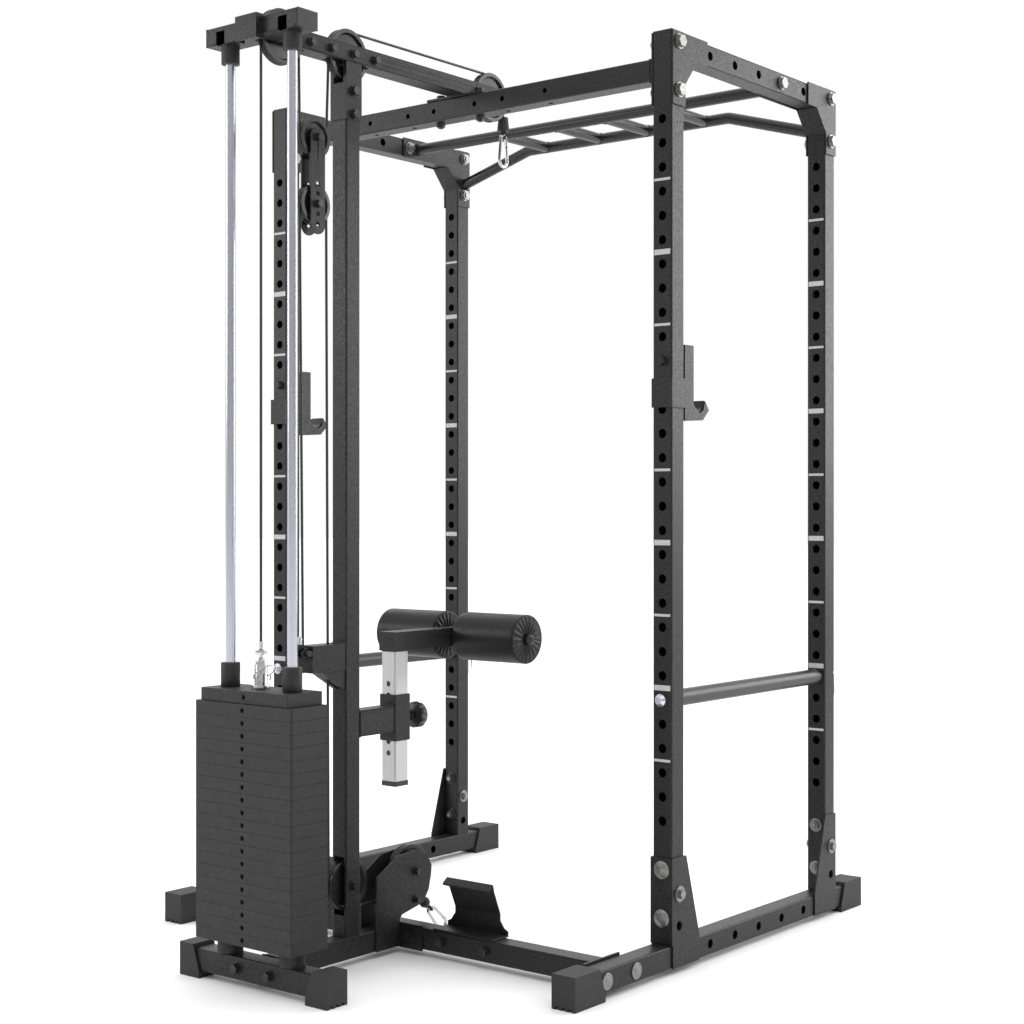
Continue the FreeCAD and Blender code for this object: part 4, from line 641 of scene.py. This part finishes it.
def tab_loops():
    """Wire finger loops on the flip tabs that lock the safety bars."""
    for side in ("left", "right"):
        low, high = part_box(f"safety_tab_{side}")
        line = (low[0] + high[0]) / 2
        front = high[1] + LOOP_REACH
        top = high[2] - LOOP_BELOW_TOP
        bottom = low[2] + LOOP_ABOVE_BOTTOM
        path = [
            Vector((line, high[1] - LOOP_ROOT, top)),
            Vector((line, front - LOOP_BEND / 2, top - LOOP_BEND / 4)),
            Vector((line, front, top - LOOP_BEND)),
            Vector((line, front, bottom + LOOP_BEND)),
            Vector((line, front - LOOP_BEND / 2, bottom + LOOP_BEND / 4)),
            Vector((line, high[1] - LOOP_ROOT, bottom)),
        ]
        wire = tube_mesh("tab_loop", path, LOOP_WIRE, 10)
        finish_piece(f"tab_loop_{side}", wire, "chrome_wire", f"safety_tab_{side}", smooth=60)


THREAD_TURNS = 12
THREAD_LENGTH = 0.022
THREAD_END = 0.0108
THREAD_ROOT = 0.0113
THREAD_CREST = 0.0126


def knob_thread():
    """The threaded neck that the locking knob's spring sits in."""
    low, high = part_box("knee_lock_knob")
    _, holder_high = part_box("knee_roller_holder")
    level = (low[2] + high[2]) / 2
    profile = [(0, THREAD_END)]
    for step in range(THREAD_TURNS * 2 + 1):
        share = (step + 0.5) / (THREAD_TURNS * 2 + 2)
        profile.append((share, THREAD_CREST if step % 2 else THREAD_ROOT))
    profile.append((1, THREAD_END))
    end = holder_high[1] + 0.0002
    neck = lathe("knob_thread", (0, end - THREAD_LENGTH, level), (0, end, level), profile)
    finish_piece("knob_thread", neck, "black_steel", "frame", smooth=50)


# ---------------------------------------------------------------- cables

CABLE_RADIUS = 0.003
BIG_WRAP = 0.056
SMALL_WRAP = 0.041
STRAND_STEP = 0.02
ANCHOR_LINE = -0.606
ANCHOR_LEVEL = 0.727
STOP_OVERLAP = 0.001
BALL_LINE = 0.011
BALL_OVERLAP = 0.0015


def wheel(joint, wrap, turn):
    """(y, z, radius, turn) of a pulley: turn is 1 where the cable goes anticlockwise round it
    as seen from +X."""
    place = joint_of[f"{joint}_spin"]["pos_m"]
    return place[1], place[2], wrap, turn


def straight(first, second):
    """The straight run between two wheels, as its two ends."""
    (y1, z1, r1, turn1), (y2, z2, r2, turn2) = first, second
    span = math.hypot(y2 - y1, z2 - z1)
    lean = math.asin((turn1 * r1 - turn2 * r2) / span)
    heading = math.atan2(z2 - z1, y2 - y1) + lean
    normal = (math.sin(heading), -math.cos(heading))
    start = Vector((0, y1 + normal[0] * r1 * turn1, z1 + normal[1] * r1 * turn1))
    end = Vector((0, y2 + normal[0] * r2 * turn2, z2 + normal[1] * r2 * turn2))
    return start, end


def wrap_path(rim, start, end):
    """Points round a wheel from one tangent point to the next."""
    y, z, radius, turn = rim
    first = math.atan2(start.z - z, start.y - y)
    last = math.atan2(end.z - z, end.y - y)
    sweep = (last - first) % (2 * math.pi)
    if turn < 0:
        sweep -= 2 * math.pi
    steps = max(8, round(abs(sweep) / math.radians(5)))
    points = []
    for step in range(steps + 1):
        angle = first + sweep * step / steps
        points.append(Vector((0, y + radius * math.cos(angle), z + radius * math.sin(angle))))
    return points


def run_path(start, end):
    """Points along a straight run."""
    steps = max(4, round((end - start).length / STRAND_STEP))
    return [start.lerp(end, step / steps) for step in range(steps + 1)]


def cable_strands(name, node, wheels, bodies):
    """The whole cable as pieces that end where they meet a pulley: runs stretch between two
    bodies, and wraps ride on their pulley's carrier. bodies lists the carrier of each wheel."""
    runs = [straight(wheels[index], wheels[index + 1]) for index in range(len(wheels) - 1)]
    for index, (start, end) in enumerate(runs):
        mesh = tube_mesh(f"{name}_run_{index}", run_path(start, end), CABLE_RADIUS)
        first, last = bodies[index], bodies[index + 1]
        body = first if first == last else None
        piece = finish_piece(f"{name}_run_{index}", mesh, "cable_coat", body, node, smooth=60)
        if body is None:
            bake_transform(piece)
        if index + 1 < len(runs):
            path = wrap_path(wheels[index + 1], end, runs[index + 1][0])
            mesh = tube_mesh(f"{name}_wrap_{index}", path, CABLE_RADIUS)
            finish_piece(f"{name}_wrap_{index}", mesh, "cable_coat", last, node, smooth=60)


def cables():
    """The lat cable from the stack to its handle, and the low cable from its anchor to its handle."""
    stem_low, stem_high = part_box("selector_stem")
    stack_line = (stem_low[1] + stem_high[1]) / 2
    _, stop_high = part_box("lat_cable_stop")
    front = wheel("pulley_top_front", BIG_WRAP, -1)
    lat = (
        (stack_line, stem_high[2], 0, 1),
        wheel("pulley_top_rear", BIG_WRAP, -1),
        wheel("pulley_block_upper", SMALL_WRAP, 1),
        wheel("pulley_top_middle", BIG_WRAP, -1),
        front,
        (front[0] + BIG_WRAP, stop_high[2] - STOP_OVERLAP, 0, 1),
    )
    cable_strands("lat_cable", "lat_cable", lat, ("stack", "frame", "block", "frame", "frame", "lat_end"))
    ball_low, ball_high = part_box("low_cable_stop")
    low = (
        (ANCHOR_LINE, ANCHOR_LEVEL, 0, 1),
        wheel("pulley_block_lower", SMALL_WRAP, -1),
        wheel("pulley_base", BIG_WRAP, 1),
        wheel("pulley_low_row", BIG_WRAP, 1),
        (ball_low[1] + BALL_LINE, ball_high[2] - BALL_OVERLAP, 0, 1),
    )
    cable_strands("low_cable", "low_cable", low, ("frame", "block", "frame", "frame", "low_end"))


# ---------------------------------------------------------------- foam rollers


ROLLER_AROUND = 120
ROLLER_FOLDS = 20
ROLLER_EDGE = 0.006
ROLLER_BORE = 0.0085
FOLD_DEPTH = 0.0022
END_INSET = 0.003
END_CROWN = 0.002


def roller_profile(half, radius):
    """Half of a roller's outline, from the bore to the middle: (along, radius, fold depth share)."""
    profile = []
    for step in range(9):
        share = step / 8
        along = half - END_INSET + END_CROWN * math.sin(share * math.pi)
        size = ROLLER_BORE + share * (radius - ROLLER_EDGE - ROLLER_BORE)
        profile.append((along, size, 1 - abs(share - 0.45)))
    for step in range(1, 8):
        angle = math.radians(90 * step / 7)
        along = half - ROLLER_EDGE + ROLLER_EDGE * math.cos(angle) - END_INSET * math.cos(angle)
        size = radius - ROLLER_EDGE + ROLLER_EDGE * math.sin(angle)
        profile.append((along, size, max(0, 0.4 - step * 0.08)))
    for step in range(1, 13):
        profile.append(((half - ROLLER_EDGE) * (1 - step / 12), radius, 0))
    return profile


def foam_roller(side):
    """A soft roller: straight barrel, rounded ends, slightly crowned end faces and gathered folds on the end
    faces.
    """
    node = f"knee_roller_{side}"
    low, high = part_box(node)
    middle_y = (low[1] + high[1]) / 2
    middle_z = (low[2] + high[2]) / 2
    centre = (low[0] + high[0]) / 2
    profile = roller_profile((high[0] - low[0]) / 2, (high[2] - low[2]) / 2)
    rings = profile + [(-along, size, fold) for along, size, fold in reversed(profile[:-1])]
    points = []
    for along, size, fold in rings:
        for step in range(ROLLER_AROUND):
            angle = 2 * math.pi * step / ROLLER_AROUND
            wave = math.cos(ROLLER_FOLDS * angle + 1.2 * math.sin(3 * angle))
            inward = FOLD_DEPTH * fold * (1 - wave) / 2
            x = centre + along - math.copysign(inward, along)
            points.append((x, middle_y + size * math.cos(angle), middle_z + size * math.sin(angle)))
    faces = []
    for ring in range(len(rings)):
        here = ring * ROLLER_AROUND
        there = (ring + 1) % len(rings) * ROLLER_AROUND
        for step in range(ROLLER_AROUND):
            after = (step + 1) % ROLLER_AROUND
            faces.append((here + step, here + after, there + after, there + step))
    mesh = mesh_of(f"roller_{side}", points, faces)
    piece = finish_piece(f"foam_roller_{side}", mesh, "black_foam", node, node, smooth=80)


# ---------------------------------------------------------------- weld beads

BEAD_STEP = 0.0014
BEAD_RADIUS = 0.0021
AXES = {
    "x": (Vector((0, 1, 0)), Vector((0, 0, 1))),
    "y": (Vector((1, 0, 0)), Vector((0, 0, 1))),
    "z": (Vector((1, 0, 0)), Vector((0, 1, 0))),
}


def around_tube(axis, centre, half_u, half_v, corner=0.004):
    """A closed path round a rectangular tube, across the given axis."""
    u, v = AXES[axis]
    outline = []
    for turn, (side_u, side_v) in enumerate(((1, 1), (-1, 1), (-1, -1), (1, -1))):
        middle = (side_u * (half_u - corner), side_v * (half_v - corner))
        for step in range(4):
            angle = math.radians(90 * turn + 30 * step)
            outline.append((middle[0] + corner * math.cos(angle), middle[1] + corner * math.sin(angle)))
    return [Vector(centre) + u * a + v * b for a, b in outline]


def around_pipe(axis, centre, radius, rise=None):
    """A closed path round a pipe; rise moves each point along the axis by its height above."""
    u, v = AXES[axis]
    along = u.cross(v) if axis != "y" else Vector((0, 1, 0))
    path = []
    for step in range(48):
        angle = 2 * math.pi * step / 48
        a, b = radius * math.cos(angle), radius * math.sin(angle)
        lift = along * rise(b) if rise else Vector()
        path.append(Vector(centre) + u * a + v * b + lift)
    return path


def resampled(path):
    """The closed path again, in equal short steps."""
    ends = path + path[:1]
    lengths = [(second - first).length for first, second in zip(ends, ends[1:])]
    count = max(12, round(sum(lengths) / BEAD_STEP / 3) * 3)
    points = []
    index = 0
    walked = 0
    for step in range(count):
        target = sum(lengths) * step / count
        while walked + lengths[index] < target:
            walked += lengths[index]
            index += 1
        points.append(ends[index].lerp(ends[index + 1], (target - walked) / lengths[index]))
    return points


def bead(path):
    """A weld bead: a thin rope with the ripples that the torch leaves every few millimetres."""
    points = resampled(path)
    count = len(points)

    def ripple(share):
        return BEAD_RADIUS * (1 + 0.16 * math.cos(2 * math.pi * share * (count - 1) / 3))

    return tube_mesh("bead", points, BEAD_RADIUS, 8, True, ripple)


def bounds_middle(node):
    """Lowest corner, highest corner and middle of a node."""
    low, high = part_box(node)
    return Vector(low), Vector(high), (Vector(low) + Vector(high)) / 2


PIPE = 0.015
GRIP = 0.0144
GRIP_LINES = (-0.265, -0.08, 0.08, 0.265)
BENT_END_LEVEL = 1.988
STACK_LINE = -0.731
TOWER_HALF = 0.0225
BEAM_HALF = 0.02
LAT_BEAM_LEVEL = 2.055
BRACKET_HALF = 0.03
BRACKET_LEVEL = 0.697
KNEE_STUB_LEVEL = 0.542
KNEE_STUB_END = -0.332
KNEE_POST_LINE = -0.307
KNEE_POST_HALF = 0.0222


def weld_beads():
    """Beads where tubes and plates are welded: on the cage, the tower and the knee unit."""
    beads = []
    for node in ("rear_top_crossbeam", "rear_base_crossmember"):
        low, high, middle = bounds_middle(node)
        level = middle.z if node == "rear_top_crossbeam" else low.z + TUBE_HALF
        for side in (-1, 1):
            seam = (side * (high.x - 0.005), middle.y, level)
            beads.append(around_tube("x", seam, TUBE_HALF, TUBE_HALF))

    bar_low, bar_high, _ = bounds_middle("pull_up_bar")
    level = mount_of["top_rail_hole"]["pos_m"][2]
    rear_bar = bar_low.y + PIPE
    front_bar = (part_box("upright_front_right")[0][1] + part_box("upright_front_right")[1][1]) / 2

    def saddle(height):
        return math.sqrt(PIPE * PIPE - min(height * height, PIPE * PIPE))

    for across in GRIP_LINES:
        beads.append(around_pipe("y", (across, rear_bar, level), GRIP, saddle))
        beads.append(around_pipe("y", (across, front_bar, level), GRIP, lambda b: -saddle(b)))
    for side in (-1, 1):
        end = side * (bar_high.x - 0.0006)
        beads.append(around_pipe("x", (end, rear_bar, level), PIPE))
        beads.append(around_pipe("x", (end, front_bar, BENT_END_LEVEL), PIPE))

    _, post_high, _ = bounds_middle("tower_post")
    _, base_high, _ = bounds_middle("tower_base")
    beads.append(around_tube("y", (0, STACK_LINE + 0.025, BASE_TUBE_MIDDLE), TOWER_HALF, TUBE_HALF))
    beads.append(around_tube("y", (0, base_high.y - 0.0047, BASE_TUBE_MIDDLE), TOWER_HALF, TUBE_HALF))
    beads.append(around_tube("y", (0, post_high.y - 0.045, BRACKET_LEVEL), TOWER_HALF, BRACKET_HALF, 0.002))
    beads.append(around_tube("y", (0, STACK_LINE + 0.03, LAT_BEAM_LEVEL), TUBE_HALF, BEAM_HALF))

    knee_low, _, _ = bounds_middle("knee_roller_holder")
    for end in (knee_low.y + 0.0008, KNEE_STUB_END):
        beads.append(around_tube("y", (0, end, KNEE_STUB_LEVEL), TOWER_HALF, BRACKET_HALF))
    rope = joined("frame_welds", [bead(path) for path in beads])
    finish_piece("frame_welds", rope, "powder_coat", "frame", smooth=60)
    arm_low, _, _ = bounds_middle("knee_roller_arm")
    path = around_tube("z", (0, KNEE_POST_LINE, arm_low.z), KNEE_POST_HALF, KNEE_POST_HALF)
    finish_piece("knee_welds", bead(path), "powder_coat", "knee_post", smooth=60)


# ---------------------------------------------------------------- small fittings


def ferrule_profile(radius):
    """A pressed sleeve: rounded ends and three crimped waists."""
    profile = [(0, radius * 0.7), (0.05, radius * 0.95)]
    for step in range(25):
        share = 0.08 + 0.84 * step / 24
        profile.append((share, radius * (1 - 0.09 * math.sin(math.pi * 3 * (share - 0.08) / 0.84) ** 2)))
    return profile + [(0.95, radius * 0.95), (1, radius * 0.7)]


ANCHOR_BOLT_LEVEL = 0.711
LOOP_RADIUS = 0.0092
LOOP_ROPE = 0.0026


def anchor_fittings():
    """The low cable's fixed end: a thimble loop round the clevis bolt and a pressed sleeve."""
    low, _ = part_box("low_cable")
    line = low[1] + CABLE_RADIUS + 0.0005

    def above(shift, rise):
        return Vector((0, line + shift, ANCHOR_BOLT_LEVEL + rise))

    path = [above(-0.001, 0.03), above(-0.002, 0.018)]
    for step in range(33):
        angle = math.radians(-235 + 290 * step / 32)
        path.append(above(LOOP_RADIUS * math.cos(angle), LOOP_RADIUS * math.sin(angle)))
    path += [above(0.002, 0.018), above(0.001, 0.03)]
    finish_piece("anchor_loop", tube_mesh("anchor_loop", path, LOOP_ROPE), "cable_coat", "frame", smooth=60)
    sleeve = lathe("anchor_sleeve", above(0, 0.019), above(0, 0.037), ferrule_profile(0.0058))
    finish_piece("anchor_sleeve", sleeve, "chrome_wire", "frame", smooth=50)


CLIP_WIRE = 0.0013
CLIP_RADIUS = 0.026
CLIP_TILT = -38
# Points of the clip's tail: X, distance towards the stack's far side, distance below the stem's top.
CLIP_TAIL = ((0.032, 0.004, 0.062), (0.040, 0.010, 0.058), (0.046, 0.016, 0.050))


def stem_clip():
    """The wire clip that hangs round the selector stem, tilted to the right."""
    low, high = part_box("selector_stem")
    line = (low[1] + high[1]) / 2
    top = high[2]
    tilt = Matrix.Rotation(math.radians(CLIP_TILT), 3, "Y").to_quaternion()
    path = ring_path((0.012, line, top - 0.047), CLIP_RADIUS, tilt)
    clip = tube_mesh("stem_clip", path, CLIP_WIRE, 10, True)
    tail_path = [Vector((x, line - back, top - down)) for x, back, down in CLIP_TAIL]
    tail = tube_mesh("stem_clip_tail", tail_path, CLIP_WIRE, 10)
    finish_piece("stem_clip", joined("stem_clip", [clip, tail]), "chrome_wire", "stack", smooth=60)
    sleeve = lathe("stem_sleeve", (0, line, top + 0.0002), (0, line, top + 0.018), ferrule_profile(0.0055))
    finish_piece("stem_sleeve", sleeve, "chrome_wire", "stack", smooth=50)


# (share of the thickness, radius) of a bearing shield
SHIELD = ((0, 0.0106), (0.7, 0.0106), (1, 0.0102), (1, 0.0056), (0, 0.0054))
SHIELD_DEPTH = 0.001
SHIELD_RISE = 0.0004


def pulley_bearings():
    """Steel bearing shields let into both sides of each pulley's hub."""
    for part in record["subparts"]:
        node = part["node"]
        if not node.startswith("pulley_"):
            continue
        low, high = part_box(node)
        middle = [(a + b) / 2 for a, b in zip(low, high)]
        shields = []
        for side in (-1, 1):
            face = (high[0] - low[0]) / 2 * side
            start = (face - side * SHIELD_DEPTH, middle[1], middle[2])
            end = (face + side * SHIELD_RISE, middle[1], middle[2])
            shields.append(lathe("shield", start, end, SHIELD, 40))
        finish_piece(f"{node}_bearings", joined("bearings", shields), "zinc_steel", node, smooth=40)


# ---------------------------------------------------------------- stage, light and camera


FLOOR_HALF = 40
# Two greys of the dome, straight down to straight up, and of the backdrop, side to middle.
DOME = ((0.0, 0.22), (1.0, 1.75))
BACKDROP = ((0.4, 0.0), (0.95, 0.75))
BACKDROP_DIRECTION = (-0.625, 0.78, 0)
# name, place, aim, width, height, power
LIGHTS = (
    ("key", (2.7, 3.8, 2.2), (0.2, 0.2, 1.5), 3.2, 2.4, 130),
    ("left", (-3.6, -3.4, 2.4), (0, -0.4, 1.3), 1.6, 1.6, 60),
)


def floor():
    """A plain pale floor."""
    corners = [Vector((x * FLOOR_HALF, y * FLOOR_HALF, 0)) for x, y in ((-1, -1), (1, -1), (1, 1), (-1, 1))]
    mesh = mesh_of("floor", corners, [(0, 1, 2, 3)])
    floor = bpy.data.objects.new("floor", mesh)
    scene.collection.objects.link(floor)
    g = Graph("floor_paint", Roughness=0.8)
    g.colour(g.ramp(g.noise(0.4, 2), ((0.3, grey(0.93)), (0.7, grey(0.95)))))
    mesh.materials.append(g.material)


def studio():
    """A white room that lights softly: bright overhead, dim below, and brighter on one side."""
    world = bpy.data.worlds.new("studio")
    scene.world = world
    world.use_nodes = True
    tree = world.node_tree

    def shade(source, stops):
        node = tree.nodes.new("ShaderNodeValToRGB")
        for element, (position, level) in zip(node.color_ramp.elements, stops):
            element.position = position
            element.color = (level, level, level, 1)
        tree.links.new(source, node.inputs["Fac"])
        return node.outputs["Color"]

    def mixed(first, second):
        node = tree.nodes.new("ShaderNodeMix")
        node.data_type = "RGBA"
        tree.links.new(first, node.inputs[6])
        if second is not None:
            tree.links.new(second, node.inputs[7])
        return node

    direction = tree.nodes.new("ShaderNodeTexCoord").outputs["Generated"]
    parts = tree.nodes.new("ShaderNodeSeparateXYZ")
    tree.links.new(direction, parts.inputs["Vector"])
    facing = tree.nodes.new("ShaderNodeVectorMath")
    facing.operation = "DOT_PRODUCT"
    facing.inputs[1].default_value = BACKDROP_DIRECTION
    tree.links.new(direction, facing.inputs[0])
    room = mixed(shade(parts.outputs["Z"], DOME), shade(facing.outputs["Value"], BACKDROP))
    room.blend_type = "ADD"
    room.inputs[0].default_value = 1
    # Seen directly the room is plain white.
    choice = mixed(room.outputs[2], None)
    choice.inputs[7].default_value = (1, 1, 1, 1)
    seen = tree.nodes.new("ShaderNodeLightPath")
    tree.links.new(seen.outputs["Is Camera Ray"], choice.inputs[0])
    tree.links.new(choice.outputs[2], tree.nodes["Background"].inputs["Color"])


def lights():
    """A large soft light behind on the right and a small one on the left."""
    for name, place, aim, width, height, power in LIGHTS:
        light = bpy.data.lights.new(name, "AREA")
        light.shape = "RECTANGLE"
        light.size = width
        light.size_y = height
        light.energy = power
        lamp = bpy.data.objects.new(name, light)
        scene.collection.objects.link(lamp)
        lamp.location = place
        lamp.rotation_euler = (Vector(aim) - Vector(place)).to_track_quat("-Z", "Y").to_euler()


CAMERA_PLACE = (2.7459, -3.2985, 1.0303)
CAMERA_HEADING = 38.688
FOCAL_LENGTH = 60.98


def camera():
    """A level camera at the corner of the tower side."""
    lens = bpy.data.cameras.new("camera")
    lens.lens = FOCAL_LENGTH
    lens.sensor_width = 36
    lens.shift_y = -0.0036
    lens.clip_end = 200
    eye = bpy.data.objects.new("camera", lens)
    scene.collection.objects.link(eye)
    eye.location = CAMERA_PLACE
    eye.rotation_euler = (math.radians(90), 0, math.radians(CAMERA_HEADING))
    scene.camera = eye
    scene.view_settings.view_transform = "Standard"


dress_nodes()
depth_marks()
# painted shade inside the uprights' holes
tube_insides()
black_nut_covers()
knob_thread()
wide_washers()
axle_caps()
tab_loops()
cables()
for side in ("left", "right"):
    foam_roller(side)
weld_beads()
anchor_fittings()
stem_clip()
pulley_bearings()
floor()
studio()
lights()
camera()

bpy.context.view_layer.update()
